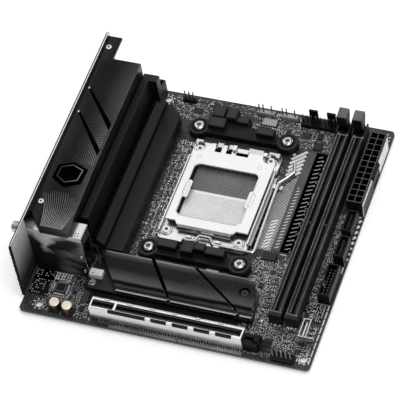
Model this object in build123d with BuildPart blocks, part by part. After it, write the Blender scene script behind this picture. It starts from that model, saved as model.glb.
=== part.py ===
"""Mini-ITX motherboard with a land-grid processor socket, built as separate pieces.

Millimetres, +Z up.  Distances are taken from the board's corner where the rear-port edge meets
the expansion-slot edge, and heights from the board's top face, the way a board drawing gives
them; deck() turns them into the part's own frame.  The origin is midway between the two front
mounting holes, on the underside of the board, where the case standoffs touch it.
"""
from build123d import *
import math
import os

os.makedirs("parts", exist_ok=True)

# ---------------------------------------------------------------- board and datum
BOARD = 170.18                    # side of the square board
BOARD_T = 1.6                     # board thickness
CORNER_R = 2.5
HOLE_R = 1.98                     # case mounting holes
HOLE_LEFT = 10.16                 # front-left hole from the port edge
HOLE_REAR_LEFT = 33.02            # rear-left hole from the port edge
HOLE_RIGHT = 165.10
HOLE_FRONT = 6.35
HOLE_REAR = 163.83
DATUM_X = (HOLE_LEFT + HOLE_RIGHT) / 2
DATUM_Y = HOLE_FRONT

# ---------------------------------------------------------------- processor socket
SOCKET_X, SOCKET_Y = 86.0, 100.2  # socket centre
COOLER_DX, COOLER_DY = 27.0, 45.0
ILM_DX, ILM_DY = 21.6, 30.0       # socket-frame screws
PLATE_TOP = 6.6
PLATE_T = 1.2
FRAME_TOP = 2.3
FRAME_T = 1.0
LEVER_Y, LEVER_Z = 65.7, 3.3      # lever axis
WIRE_R = 0.95
ARM_X = 117.7                     # lever arm beside the frame
HINGE_TABS = (71.6, 78.5, 102.7)  # left sides of the load plate's hinge tabs, each 2.4 wide
PLATE_SLOTS = ((74.4, 3.8), (81.2, 3.4), (87.4, 7.2))    # left side and width
FRAME_RIGHT = 114.6               # outer edge of the frame's side rail
ARM_LEAN = 0.8                    # the arm leans in towards the frame at its far end

# ---------------------------------------------------------------- covers and rear ports
SHIELD_X0, SHIELD_T = -1.0, 0.7
GASKET_T = 0.6
SHIELD_Y0, SHIELD_Y1 = 11.2, 170.9
SHIELD_TOP, SHIELD_LOW = 44.5, -1.5
COVER_TOP, COVER_NEAR_TOP = 42.0, 39.4
COVER_RIGHT = 25.2
COVER_Y0, COVER_Y1 = 29.5, 153.4
COVER_T = 1.6
WIFI_TOP = 35.0
PORT_FACE = -1.2                  # outer end of most port shells
COVER_FLAT_Y = 74.0               # the roof is level beyond this and falls towards the near end
COVER_SCREWS = [(2.6, 161.0), (3.4, 46.6)]
# rear openings: low corner along the port edge, low height, width, height
AUDIO = (45.6, 0.0, 13.4, 33.0)
LAN = (61.6, 0.0, 16.4, 29.6)
USB_A = (80.6, 0.0, 13.8, 15.6)
USB_B = (97.0, 0.0, 13.8, 15.6)
USB_C = (113.6, 0.0, 9.4, 4.2)
DISPLAY = (126.0, 0.0, 18.6, 17.0)
SWITCH = (149.6, 2.0, 6.2, 6.2)
ANTENNA_Y = 34.2
ANTENNA_Z = (11.0, 29.5)
BUTTON_Y, BUTTON_Z = 152.7, 5.1

# ---------------------------------------------------------------- slots
PCIE_X0, PCIE_X1 = 42.6, 131.4
PCIE_Y, PCIE_W, PCIE_H = 7.35, 7.9, 11.2
DIMM_X = (143.6, 152.8)
DIMM_Y0, DIMM_Y1 = 26.0, 165.4
DIMM_H = 8.6
LATCH_W = 5.7
TOWER_DX = -0.6                   # latch tower against the slot's own centre line
LATCH_PIVOT_Y, LATCH_PIVOT_Z = 161.6, 3.6

# ---------------------------------------------------------------- connectors and small parts
CELL = 4.2                        # pitch of the power connectors' cells
# low corner x and y, cells across, cells along
ATX = (160.2, 106.2, 2, 12)
CPU_POWER = (13.6, 158.2, 4, 2)
# low corner x and y, width, depth, height
CHIPS = [(92.8, 157.2, 9.0, 5.2, 1.1), (122.4, 64.6, 8.0, 5.2, 1.8),
         (127.4, 146.6, 5.0, 5.0, 0.9), (17.2, 84.0, 8.0, 8.0, 1.0)]
CAPACITORS = [(20.7, 5.6), (28.4, 5.0)]
# columns of small parts: left edge, first part, count
PASSIVE_COLUMNS = [(50.6, 62.0, 22), (54.4, 66.0, 20), (120.6, 48.0, 4), (134.0, 34.0, 12),
                   (157.6, 44.0, 8)]


def deck(height=0.0, x=0.0, y=0.0):
    """Plane parallel to the board at a height above its top face, at a board position."""
    return Plane((x - DATUM_X, y - DATUM_Y, BOARD_T + height))


def side(x):
    """Plane facing +X at a distance from the port edge; its axes are board Y and height."""
    return Plane((x - DATUM_X, -DATUM_Y, BOARD_T), x_dir=(0, 1, 0), z_dir=(1, 0, 0))


def front(y):
    """Plane facing -Y at a distance from the slot edge; its axes are board X and height."""
    return Plane((-DATUM_X, y - DATUM_Y, BOARD_T), x_dir=(1, 0, 0), z_dir=(0, -1, 0))


def blocks(corners, z, size_x, size_y, size_z, mode=Mode.ADD):
    """Equal boxes given by their low corners in board distances."""
    with Locations(*[(x - DATUM_X, y - DATUM_Y, BOARD_T + z) for x, y in corners]):
        Box(size_x, size_y, size_z, align=(Align.MIN, Align.MIN, Align.MIN), mode=mode)


def block(x, y, z, size_x, size_y, size_z, mode=Mode.ADD):
    """Box given by its low corner in board distances."""
    blocks([(x, y)], z, size_x, size_y, size_z, mode)


def posts(spots, z, radius, height, mode=Mode.ADD):
    """Equal upright cylinders standing at board positions."""
    with Locations(*[(x - DATUM_X, y - DATUM_Y, BOARD_T + z) for x, y in spots]):
        Cylinder(radius, height, align=(Align.CENTER, Align.CENTER, Align.MIN), mode=mode)


def post(x, y, z, radius, height, mode=Mode.ADD):
    """Upright cylinder standing at a board position."""
    posts([(x, y)], z, radius, height, mode)


def rod(x, y, z, radius, length, mode=Mode.ADD):
    """Cylinder along +X from a board position."""
    with Locations(Location((x - DATUM_X, y - DATUM_Y, BOARD_T + z), (0, 90, 0))):
        Cylinder(radius, length, align=(Align.CENTER, Align.CENTER, Align.MIN), mode=mode)


def save(piece, name):
    """Label a finished piece and write its STEP file."""
    piece.part.label = name
    export_step(piece.part, f"parts/{name}.step")


def around_socket(dx, dy):
    """The four positions at plus and minus dx, dy about the socket centre."""
    return [(SOCKET_X + sx * dx, SOCKET_Y + sy * dy) for sx in (-1, 1) for sy in (-1, 1)]


MOUNT_HOLES = [(HOLE_LEFT, HOLE_FRONT), (HOLE_RIGHT, HOLE_FRONT),
               (HOLE_REAR_LEFT, HOLE_REAR), (HOLE_RIGHT, HOLE_REAR)]
HEATSINK_SCREWS = [(43.0, 51.0), (43.0, 98.0), (43.0, 141.0)]
M2_POSTS = [(35.8, 24.9), (123.1, 35.2)]


# ================================================================ board
def make_pcb():
    with BuildPart() as pcb:
        with BuildSketch(deck(-BOARD_T, BOARD / 2, BOARD / 2)):
            RectangleRounded(BOARD, BOARD, CORNER_R)
        extrude(amount=BOARD_T)
        posts(MOUNT_HOLES, -BOARD_T, HOLE_R, BOARD_T, Mode.SUBTRACT)
        posts(around_socket(COOLER_DX, COOLER_DY), -BOARD_T, 2.9, BOARD_T, Mode.SUBTRACT)
        posts(around_socket(ILM_DX, ILM_DY), -BOARD_T, 2.6, BOARD_T, Mode.SUBTRACT)
        posts(HEATSINK_SCREWS, -BOARD_T, 1.35, BOARD_T, Mode.SUBTRACT)
    save(pcb, "pcb")


# ================================================================ socket
def make_socket():
    body_w = 46.4
    with BuildPart() as socket_housing:
        with BuildSketch(deck(0, SOCKET_X, SOCKET_Y)):
            RectangleRounded(body_w, body_w, 1.5)
        extrude(amount=3.6)
        with BuildSketch(deck(2.2, SOCKET_X, SOCKET_Y)):
            RectangleRounded(40.6, 40.6, 0.6)
        extrude(amount=1.4, mode=Mode.SUBTRACT)
        for dy in (-16.6, 13.8):
            block(SOCKET_X - 20.3, SOCKET_Y + dy, 2.2, 1.2, 2.8, 1.4)
            block(SOCKET_X + 19.1, SOCKET_Y + dy, 2.2, 1.2, 2.8, 1.4)
    save(socket_housing, "socket_housing")

    field_w, field_d = 36.8, 18.2
    with BuildPart() as socket_contacts:
        for low_y in (SOCKET_Y - 0.7 - field_d, SOCKET_Y + 0.7):
            block(SOCKET_X - field_w / 2, low_y, 2.2, field_w, field_d, 0.5)
    save(socket_contacts, "socket_contacts")

    low = FRAME_TOP - FRAME_T
    with BuildPart() as socket_frame:
        with BuildSketch(deck(low, SOCKET_X + 0.6, SOCKET_Y)):
            RectangleRounded(53.0, 71.6, 3.0)
            with Locations((-0.6, 0)):
                RectangleRounded(47.4, 47.4, 1.0, mode=Mode.SUBTRACT)
        extrude(amount=FRAME_T)
        # turned-up side flanges
        block(60.1, 68.0, FRAME_TOP, 0.9, 56.0, 2.6)
        block(112.2, 70.0, FRAME_TOP, 0.9, 52.0, 2.6)
        # flat side rail beside the lever, and the lever rest that passes under the wire
        block(113.0, 71.0, low, FRAME_RIGHT - 113.0, 49.0, FRAME_T)
        block(113.0, 112.4, FRAME_TOP, 6.6, 3.0, 0.7)
        # raised hinge rail with slots for the load plate's tabs
        with BuildSketch(side(61.2)):
            with BuildLine():
                Polyline((131.4, FRAME_TOP - 0.5), (132.4, 5.0), (135.0, 5.6), (136.0, 4.8),
                         (136.0, low), (135.1, low), (135.1, 4.4), (134.9, 4.7), (132.9, 4.2),
                         (132.3, low), (131.4, low), close=True)
            make_face()
        extrude(amount=50.8)
        openings = [(x - 0.5, 3.4) for x in HINGE_TABS] + [(65.4, 5.7), (84.6, 8.8)]
        for x, width in openings:
            block(x, 131.0, FRAME_TOP, width, 5.2, 4.2, Mode.SUBTRACT)
        # near-side lever bearings, open upwards
        for x in (77.2, 94.6):
            block(x, 63.7, FRAME_TOP, 3.0, 4.6, 2.2)
            rod(x - 0.5, LEVER_Y, LEVER_Z, WIRE_R + 0.06, 4.0, Mode.SUBTRACT)
            block(x - 0.5, LEVER_Y - WIRE_R - 0.06, LEVER_Z, 4.0, 2 * WIRE_R + 0.12, 2.0,
                  Mode.SUBTRACT)
        # relief under the wire, and the screw holes
        block(75.0, LEVER_Y - 1.4, low, 2.2, 2.8, FRAME_T, Mode.SUBTRACT)
        posts(around_socket(ILM_DX, ILM_DY), low, 1.75, FRAME_T, Mode.SUBTRACT)
        posts(around_socket(ILM_DX, ILM_DY), FRAME_TOP, 3.6, 4.2, Mode.SUBTRACT)
    save(socket_frame, "socket_frame")

    with BuildPart() as socket_screws:
        corners = around_socket(ILM_DX, ILM_DY)
        posts(corners, -BOARD_T - 2.0, 1.5, BOARD_T + 2.0 + FRAME_TOP)
        posts(corners, FRAME_TOP, 3.3, 0.9)
        posts(corners, FRAME_TOP + 0.9, 2.5, 0.6)
        posts(corners, FRAME_TOP + 0.6, 1.2, 0.9, Mode.SUBTRACT)
    save(socket_screws, "socket_screws")


def make_load_plate():
    low = PLATE_TOP - PLATE_T
    with BuildPart() as load_plate:
        with BuildSketch(deck(low)):
            with BuildLine():
                Polyline((62.2, 75.4), (62.2, 131.2), (111.6, 131.2), (111.6, 75.4),
                         (104.4, 75.4), (102.6, 73.0), (69.8, 73.0), (68.2, 75.4), close=True)
            make_face()
            with Locations((SOCKET_X, 98.4)):
                RectangleRounded(38.6, 37.4, 3.2, mode=Mode.SUBTRACT)
            # finger bumps that press on the processor lid
            for x in (66.6, 106.4):
                with Locations((x, 98.6)):
                    RectangleRounded(5.6, 12.4, 1.6)
            # clearance round the two near screws and the far ones
            for x, y in around_socket(ILM_DX, ILM_DY):
                with Locations((x, y)):
                    Circle(4.3, mode=Mode.SUBTRACT)
        extrude(amount=PLATE_T)
        # slots along the far edge, between the hinge tabs and the stop finger
        for x, width in PLATE_SLOTS:
            block(x, 127.6, low, width, 3.6, PLATE_T, Mode.SUBTRACT)
        # near edge turned down, with the tongue under the lever's crank
        with BuildSketch(side(70.4)):
            with BuildLine():
                Polyline((73.2, PLATE_TOP), (71.6, PLATE_TOP - 0.7), (70.9, PLATE_TOP - 2.2),
                         (70.9, PLATE_TOP - 2.9), (71.9, PLATE_TOP - 2.9),
                         (72.2, PLATE_TOP - 1.9), (73.2, low), close=True)
            make_face()
        extrude(amount=31.8)
        # stiffening ribs pressed down along both sides
        block(62.2, 77.0, low - 0.9, 1.0, 46.0, 0.9)
        block(110.6, 77.0, low - 0.9, 1.0, 46.0, 0.9)
        # hinge tabs and the stop finger
        for x in HINGE_TABS:
            with BuildSketch(side(x)):
                with BuildLine():
                    Polyline((130.8, PLATE_TOP), (133.4, PLATE_TOP - 0.2), (134.4, 5.6),
                             (134.4, 3.0), (133.6, 3.0), (133.4, 5.0), (130.8, low), close=True)
                make_face()
            extrude(amount=2.4)
        block(85.0, 129.8, low, 1.9, 3.6, PLATE_T + 1.6)
    save(load_plate, "load_plate")


def make_load_lever():
    with BuildPart() as load_lever:
        with BuildLine(Plane((-DATUM_X, -DATUM_Y, BOARD_T))) as wire:
            FilletPolyline((75.8, LEVER_Y, LEVER_Z), (82.2, LEVER_Y, LEVER_Z),
                           (84.6, 69.1, LEVER_Z + 1.2), (91.0, 69.1, LEVER_Z + 1.2),
                           (93.4, LEVER_Y, LEVER_Z), (ARM_X, LEVER_Y, LEVER_Z),
                           (ARM_X - ARM_LEAN, 115.6, LEVER_Z + 1.0),
                           (120.6, 119.2, LEVER_Z + 2.0), (124.1, 123.8, LEVER_Z + 3.0),
                           (122.6, 129.0, LEVER_Z + 4.6), radius=1.5)
        start = wire.line @ 0
        with BuildSketch(Plane(start, z_dir=wire.line % 0)):
            Circle(WIRE_R)
        sweep()
    save(load_lever, "load_lever")


def make_backplate():
    gap = 0.3
    low = -BOARD_T - gap - 1.8
    with BuildPart() as backplate:
        with BuildSketch(deck(low, SOCKET_X, SOCKET_Y)):
            RectangleRounded(70.0, 104.0, 7.0)
            for side_x in (-1, 1):
                with Locations((side_x * 35.0, 0)):
                    RectangleRounded(10.0, 46.0, 4.0, mode=Mode.SUBTRACT)
            with Locations((0, 12), (0, -12)):
                RectangleRounded(15.0, 9.0, 2.0, mode=Mode.SUBTRACT)
        extrude(amount=1.8)
        cooler, frame = around_socket(COOLER_DX, COOLER_DY), around_socket(ILM_DX, ILM_DY)
        posts(cooler, low + 1.8, 2.7, BOARD_T + gap - 0.1)
        posts(cooler, low, 1.6, BOARD_T + gap + 1.7, Mode.SUBTRACT)
        posts(frame, low + 1.8, 2.4, 0.8)
        posts(frame, low, 1.5, 2.6, Mode.SUBTRACT)
    save(backplate, "backplate")

    with BuildPart() as backplate_insulator:
        with BuildSketch(deck(-BOARD_T - gap, SOCKET_X, SOCKET_Y)):
            RectangleRounded(72.0, 106.0, 8.0)
        extrude(amount=gap)
        posts(cooler, -BOARD_T - gap, 2.9, gap, Mode.SUBTRACT)
        posts(frame, -BOARD_T - gap, 2.6, gap, Mode.SUBTRACT)
    save(backplate_insulator, "backplate_insulator")


def bracket_body(ears_y, bar_y0, bar_depth, hooks):
    """Plastic cooler bracket: two ringed ears joined by a bar that carries hook blocks."""
    ears = [(SOCKET_X + sx * COOLER_DX, ears_y) for sx in (-1, 1)]
    with BuildPart() as bracket:
        block(SOCKET_X - COOLER_DX, bar_y0, 0, 2 * COOLER_DX, bar_depth, 4.6)
        posts(ears, 0, 6.3, 4.6)
        for x, y, size_x, size_y, height in hooks:
            block(x, y, 0, size_x, size_y, height)
        posts(ears, 0, 2.0, 4.6, Mode.SUBTRACT)
        posts(ears, 3.6, 4.0, 1.0, Mode.SUBTRACT)
    return bracket


def make_brackets():
    far_y = SOCKET_Y + COOLER_DY
    near_y = SOCKET_Y - COOLER_DY
    far = bracket_body(far_y, far_y - 3.4, 6.4,
                       [(64.8, far_y - 0.7, 9.8, 7.2, 8.0), (65.0, far_y + 6.4, 7.3, 8.0, 8.8),
                        (73.5, far_y + 6.2, 6.4, 7.6, 9.0), (79.8, far_y + 5.8, 7.4, 4.4, 7.2),
                        (65.0, far_y + 2.0, 22.2, 9.6, 4.6), (87.2, far_y + 2.0, 7.2, 3.4, 4.6),
                        (94.2, far_y - 0.7, 10.4, 5.2, 8.4)])
    save(far, "cooler_bracket_far")
    near = bracket_body(near_y, near_y - 3.6, 6.4,
                        [(64.4, near_y - 0.4, 11.4, 5.6, 8.6), (78.6, near_y - 1.6, 7.2, 7.6, 9.4),
                         (85.8, near_y + 1.4, 6.2, 4.8, 9.4), (92.6, near_y + 0.2, 11.2, 5.2, 9.0)])
    save(near, "cooler_bracket_near")

    with BuildPart() as cooler_screws:
        corners = around_socket(COOLER_DX, COOLER_DY)
        posts(corners, -BOARD_T - 1.9, 1.6, BOARD_T + 1.9 + 3.6)
        posts(corners, 3.6, 3.5, 2.6)
        posts(corners, 5.2, 1.3, 1.0, Mode.SUBTRACT)
    save(cooler_screws, "cooler_screws")


# ================================================================ voltage regulator
def make_vrm():
    fin_x0, fin_x1 = 25.8, 30.2
    channel_x1 = 33.0
    slope_x1 = 37.4
    plate_x0, plate_x1 = 38.1, 48.0
    near, far = 45.2, 152.4
    with BuildPart() as vrm_heatsink:
        with BuildSketch(front(near)):
            with BuildLine():
                Polyline((fin_x0, 7.8), (fin_x0, 33.0), (fin_x1, 33.0), (fin_x1, 9.8),
                         (channel_x1, 9.8), (channel_x1, 16.4), (slope_x1, 12.6),
                         (slope_x1, 9.0), (plate_x0, 9.0), (plate_x0, 10.0), (plate_x1, 10.0),
                         (plate_x1, 2.4), (36.6, 2.4), (36.6, 7.8), close=True)
            make_face()
        extrude(amount=-(far - near))
        # far end of the tall fin, and the block that closes the channel there
        block(fin_x0, far, 9.8, fin_x1 - fin_x0, 1.6, 23.2)
        block(fin_x1, 149.2, 9.8, 4.8, 4.8, 23.2)
        # cross fins that bridge the channel
        pitch = 2.6
        fins = [(fin_x1, near + 1.6 + index * pitch) for index in range(39)]
        blocks(fins, 9.8, channel_x1 - fin_x1, 1.1, 9.0)
        # tall fin starts a little further in than the plate
        block(fin_x0, near, 9.8, 7.2, 1.4, 24.0, Mode.SUBTRACT)
        # clipped far corner of the flat plate
        clip = 7.0
        with BuildSketch(deck(2.0)):
            with BuildLine():
                Polyline((plate_x1 - clip, far), (plate_x1 + 1, far + 1), (plate_x1, far - clip),
                         close=True)
            make_face()
        extrude(amount=9.0, mode=Mode.SUBTRACT)
        posts(HEATSINK_SCREWS, 0.0, 2.6, 2.4)
        posts(HEATSINK_SCREWS, 0.0, 1.25, 5.0, Mode.SUBTRACT)
    save(vrm_heatsink, "vrm_heatsink")

    with BuildPart() as vrm_chokes:
        blocks([(27.6, 51.0 + index * 10.9) for index in range(9)], 0.0, 7.0, 7.4, 7.0)
    save(vrm_chokes, "vrm_chokes")

    stages = [(39.6, 56.0 + index * 7.6) for index in range(5)]
    stages += [(39.6, 103.0 + index * 7.6) for index in range(4)]
    with BuildPart() as vrm_power_stages:
        blocks(stages, 0.0, 5.6, 5.0, 1.2)
    save(vrm_power_stages, "vrm_power_stages")

    with BuildPart() as heatsink_screws:
        posts(HEATSINK_SCREWS, -BOARD_T - 1.3, 2.6, 1.3)
        posts(HEATSINK_SCREWS, -BOARD_T, 1.25, BOARD_T + 4.4)
        posts(HEATSINK_SCREWS, -BOARD_T - 1.3, 0.9, 0.8, Mode.SUBTRACT)
    save(heatsink_screws, "heatsink_screws")


def make_thermal_pads():
    """Soft pads between the coolers and the chips they cool."""
    with BuildPart() as thermal_pads:
        block(27.0, 50.0, 7.0, 8.6, 98.0, 0.8)
        for y0, length in ((55.2, 38.0), (102.4, 34.0)):
            block(38.6, y0, 1.2, 7.8, length, 1.2)
        block(51.4, 24.2, 3.8, 60.6, 16.8, 0.8)
        block(98.4, 26.8, 1.3, 10.2, 10.2, 0.7)
    save(thermal_pads, "thermal_pads")


# ================================================================ rear cover, shield and ports
def make_shield():
    height = SHIELD_TOP - SHIELD_LOW
    with BuildPart() as io_shield:
        block(SHIELD_X0, SHIELD_Y0, SHIELD_LOW, SHIELD_T, SHIELD_Y1 - SHIELD_Y0, height)
        for y, z, width, tall in (AUDIO, LAN, USB_A, USB_B, USB_C, DISPLAY):
            block(SHIELD_X0, y - 0.15, z - 0.15, SHIELD_T, width + 0.3, tall + 0.3,
                  Mode.SUBTRACT)
        for z in ANTENNA_Z:
            rod(SHIELD_X0, ANTENNA_Y, z, 3.35, SHIELD_T, Mode.SUBTRACT)
        rod(SHIELD_X0, BUTTON_Y, BUTTON_Z, 2.0, SHIELD_T, Mode.SUBTRACT)
    save(io_shield, "io_shield")

    rim = 3.4
    with BuildPart() as io_shield_gasket:
        with BuildSketch(side(SHIELD_X0 - GASKET_T)):
            with Locations(((SHIELD_Y0 + SHIELD_Y1) / 2, (SHIELD_TOP + SHIELD_LOW) / 2)):
                RectangleRounded(SHIELD_Y1 - SHIELD_Y0, height, 2.0)
                RectangleRounded(SHIELD_Y1 - SHIELD_Y0 - 2 * rim, height - 2 * rim, 1.5,
                                 mode=Mode.SUBTRACT)
        extrude(amount=GASKET_T)
        block(SHIELD_X0 - GASKET_T, SHIELD_Y0 + rim, SHIELD_LOW, GASKET_T,
              SHIELD_Y1 - SHIELD_Y0 - 2 * rim, rim, Mode.SUBTRACT)
    save(io_shield_gasket, "io_shield_gasket")


def make_cover():
    x0 = SHIELD_X0 + SHIELD_T
    with BuildPart() as io_cover:
        # roof and walls: side profile of the roof, swept across the width
        with BuildSketch(side(x0)):
            with BuildLine():
                Polyline((COVER_Y0, WIFI_TOP + 0.2), (COVER_Y0, COVER_NEAR_TOP),
                         (COVER_FLAT_Y, COVER_TOP), (COVER_Y1, COVER_TOP), (COVER_Y1, 27.0),
                         (COVER_Y1 - COVER_T, 27.0), (COVER_Y1 - COVER_T, COVER_TOP - COVER_T),
                         (COVER_FLAT_Y, COVER_TOP - COVER_T),
                         (COVER_Y0 + COVER_T, COVER_NEAR_TOP - COVER_T),
                         (COVER_Y0 + COVER_T, WIFI_TOP + 0.2), close=True)
            make_face()
        extrude(amount=COVER_RIGHT - x0)
        # right wall, down to the heatsink
        with BuildSketch(side(COVER_RIGHT - COVER_T)):
            with BuildLine():
                Polyline((COVER_Y0, WIFI_TOP + 0.2), (COVER_Y0, COVER_NEAR_TOP),
                         (COVER_FLAT_Y, COVER_TOP), (COVER_Y1, COVER_TOP), (COVER_Y1, 27.0),
                         (45.0, 27.0), (45.0, WIFI_TOP + 0.2), close=True)
            make_face()
        extrude(amount=COVER_T)
        # tab along the shield at the far end
        block(x0, COVER_Y1 - 1.0, COVER_TOP - COVER_T, 8.2, 17.2, COVER_T)
        # clipped near corner by the shield
        clip_x, clip_y = 8.6, 10.5
        with BuildSketch(deck(30.0)):
            with BuildLine():
                Polyline((x0 - 1, COVER_Y0 - 1), (x0 + clip_x, COVER_Y0 - 1),
                         (x0 + clip_x, COVER_Y0), (x0, COVER_Y0 + clip_y),
                         (x0 - 1, COVER_Y0 + clip_y), close=True)
            make_face()
        extrude(amount=14.0, mode=Mode.SUBTRACT)
        # two diagonal grooves across the roof, wider towards the right
        groove_x0, groove_x1 = x0 + 2.4, COVER_RIGHT - 1.8
        for y_left, y_right in ((128.8, 102.8), (110.8, 83.8)):
            with BuildSketch(deck(COVER_TOP - 0.7)):
                with BuildLine():
                    Polyline((groove_x0, y_left), (groove_x0, y_left + 1.6),
                             (groove_x1, y_right + 3.8), (groove_x1, y_right), close=True)
                make_face()
            extrude(amount=0.7, mode=Mode.SUBTRACT)
        for x, y in COVER_SCREWS:
            post(x, y, 30.0, 1.2, 14.0, Mode.SUBTRACT)
    save(io_cover, "io_cover")

    head_r = 1.9
    fall = (COVER_TOP - COVER_NEAR_TOP) / (COVER_FLAT_Y - COVER_Y0)
    with BuildPart() as io_cover_screws:
        for x, y in COVER_SCREWS:
            roof = COVER_TOP - fall * max(0.0, COVER_FLAT_Y - y - head_r)
            post(x, y, roof, head_r, 0.8)
            post(x, y, roof - 3.4, 1.1, 3.4)
            post(x, y, roof + 0.3, 0.7, 0.5, Mode.SUBTRACT)
    save(io_cover_screws, "io_cover_screws")


def make_wifi():
    x0, x1 = SHIELD_X0 + SHIELD_T, 32.2
    y0, y1 = 30.4, 41.2
    wall = 0.5
    with BuildPart() as wifi_bracket:
        block(x0, y0, 0.0, x1 - x0, wall, WIFI_TOP)
        block(x0, y1 - wall, 0.0, x1 - x0, wall, WIFI_TOP)
        block(x0, y0, WIFI_TOP - wall, x1 - x0, y1 - y0, wall)
        block(x1 - wall, y0, 27.0, wall, y1 - y0, WIFI_TOP - 27.0)
        for z in (5.0, 18.0):
            block(x1 - 3.0, y0 - 0.1, z, 1.6, 0.7, 3.0, Mode.SUBTRACT)
    save(wifi_bracket, "wifi_bracket")

    with BuildPart() as wifi_module:
        # upright radio card on its interposer, with the shield can
        block(3.0, 36.6, 0.0, 26.0, 1.0, 32.0)
        block(6.0, 34.9, 7.0, 20.0, 1.7, 22.0)
        block(2.0, 37.6, 0.0, 28.0, 2.6, 5.0)
    save(wifi_module, "wifi_module")

    with BuildPart() as antenna_jacks:
        for z in ANTENNA_Z:
            rod(-10.6, ANTENNA_Y, z, 3.1, 11.6)
            rod(SHIELD_X0 - 1.4, ANTENNA_Y, z, 4.2, 1.4)
            rod(-10.6, ANTENNA_Y, z, 2.3, 4.0, Mode.SUBTRACT)
            rod(-10.6, ANTENNA_Y, z, 0.6, 4.0)
    save(antenna_jacks, "antenna_jacks")


def shell_port(outlines, depth, mouths):
    """Metal-shelled ports with open mouths (low y, low z, width, height, depth, tongue)."""
    with BuildPart() as port:
        for y, z, width, tall in outlines:
            block(PORT_FACE, y, z, depth, width, tall)
            for mouth_y, mouth_z, mouth_w, mouth_h, mouth_d, tongue in mouths:
                block(PORT_FACE, y + mouth_y, z + mouth_z, mouth_d, mouth_w, mouth_h,
                      Mode.SUBTRACT)
                if tongue:
                    tongue_y, tongue_z, tongue_w, tongue_h = tongue
                    block(PORT_FACE + 1.2, y + mouth_y + tongue_y, z + mouth_z + tongue_z,
                          mouth_d - 1.2, tongue_w, tongue_h)
    return port


def make_ports():
    usb_pair = [(0.65, low, 12.5, 5.1, 9.0, (1.1, 3.2, 10.3, 1.2)) for low in (1.2, 8.8)]
    save(shell_port((USB_A, USB_B), 17.6, usb_pair), "usb_stacks")
    usb_c_mouth = (0.45, 0.7, 8.5, 2.8, 6.5, (1.0, 1.05, 6.5, 0.7))
    save(shell_port((USB_C,), 10.6, [usb_c_mouth]), "usb_c_port")
    lan_usb = [(1.95, low, 12.5, 5.1, 9.0, (1.1, 3.2, 10.3, 1.2)) for low in (1.0, 8.6)]
    lan_usb.append((2.3, 17.6, 11.8, 8.6, 13.0, None))
    save(shell_port((LAN,), 24.6, lan_usb), "lan_usb_stack")
    display = [(1.2, 1.2, 15.2, 4.7, 9.0, (1.6, 1.9, 12.0, 1.0)),
               (0.8, 9.4, 16.2, 5.0, 9.0, (1.8, 1.9, 12.4, 1.2))]
    save(shell_port((DISPLAY,), 22.0, display), "display_port_stack")

    y, z, width, tall = AUDIO
    with BuildPart() as audio_jack_stack:
        block(-1.0, y, z, 14.6, width, tall)
        for level in (6.0, 16.4, 26.8):
            rod(-2.6, y + width / 2, level, 3.9, 1.6)
            rod(-2.6, y + width / 2, level, 1.8, 14.0, Mode.SUBTRACT)
    save(audio_jack_stack, "audio_jack_stack")

    y, z, width, tall = SWITCH
    with BuildPart() as bios_switch:
        block(0.6, y, 0.0, 6.6, width, 8.4)
        rod(0.6, BUTTON_Y, BUTTON_Z, 1.95, 2.6, Mode.SUBTRACT)
    save(bios_switch, "bios_switch")
    with BuildPart() as bios_button:
        rod(-2.3, BUTTON_Y, BUTTON_Z, 1.7, 4.6)
        chamfer(bios_button.edges().sort_by(Axis.X)[0], length=0.3)
    save(bios_button, "bios_button")


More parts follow.
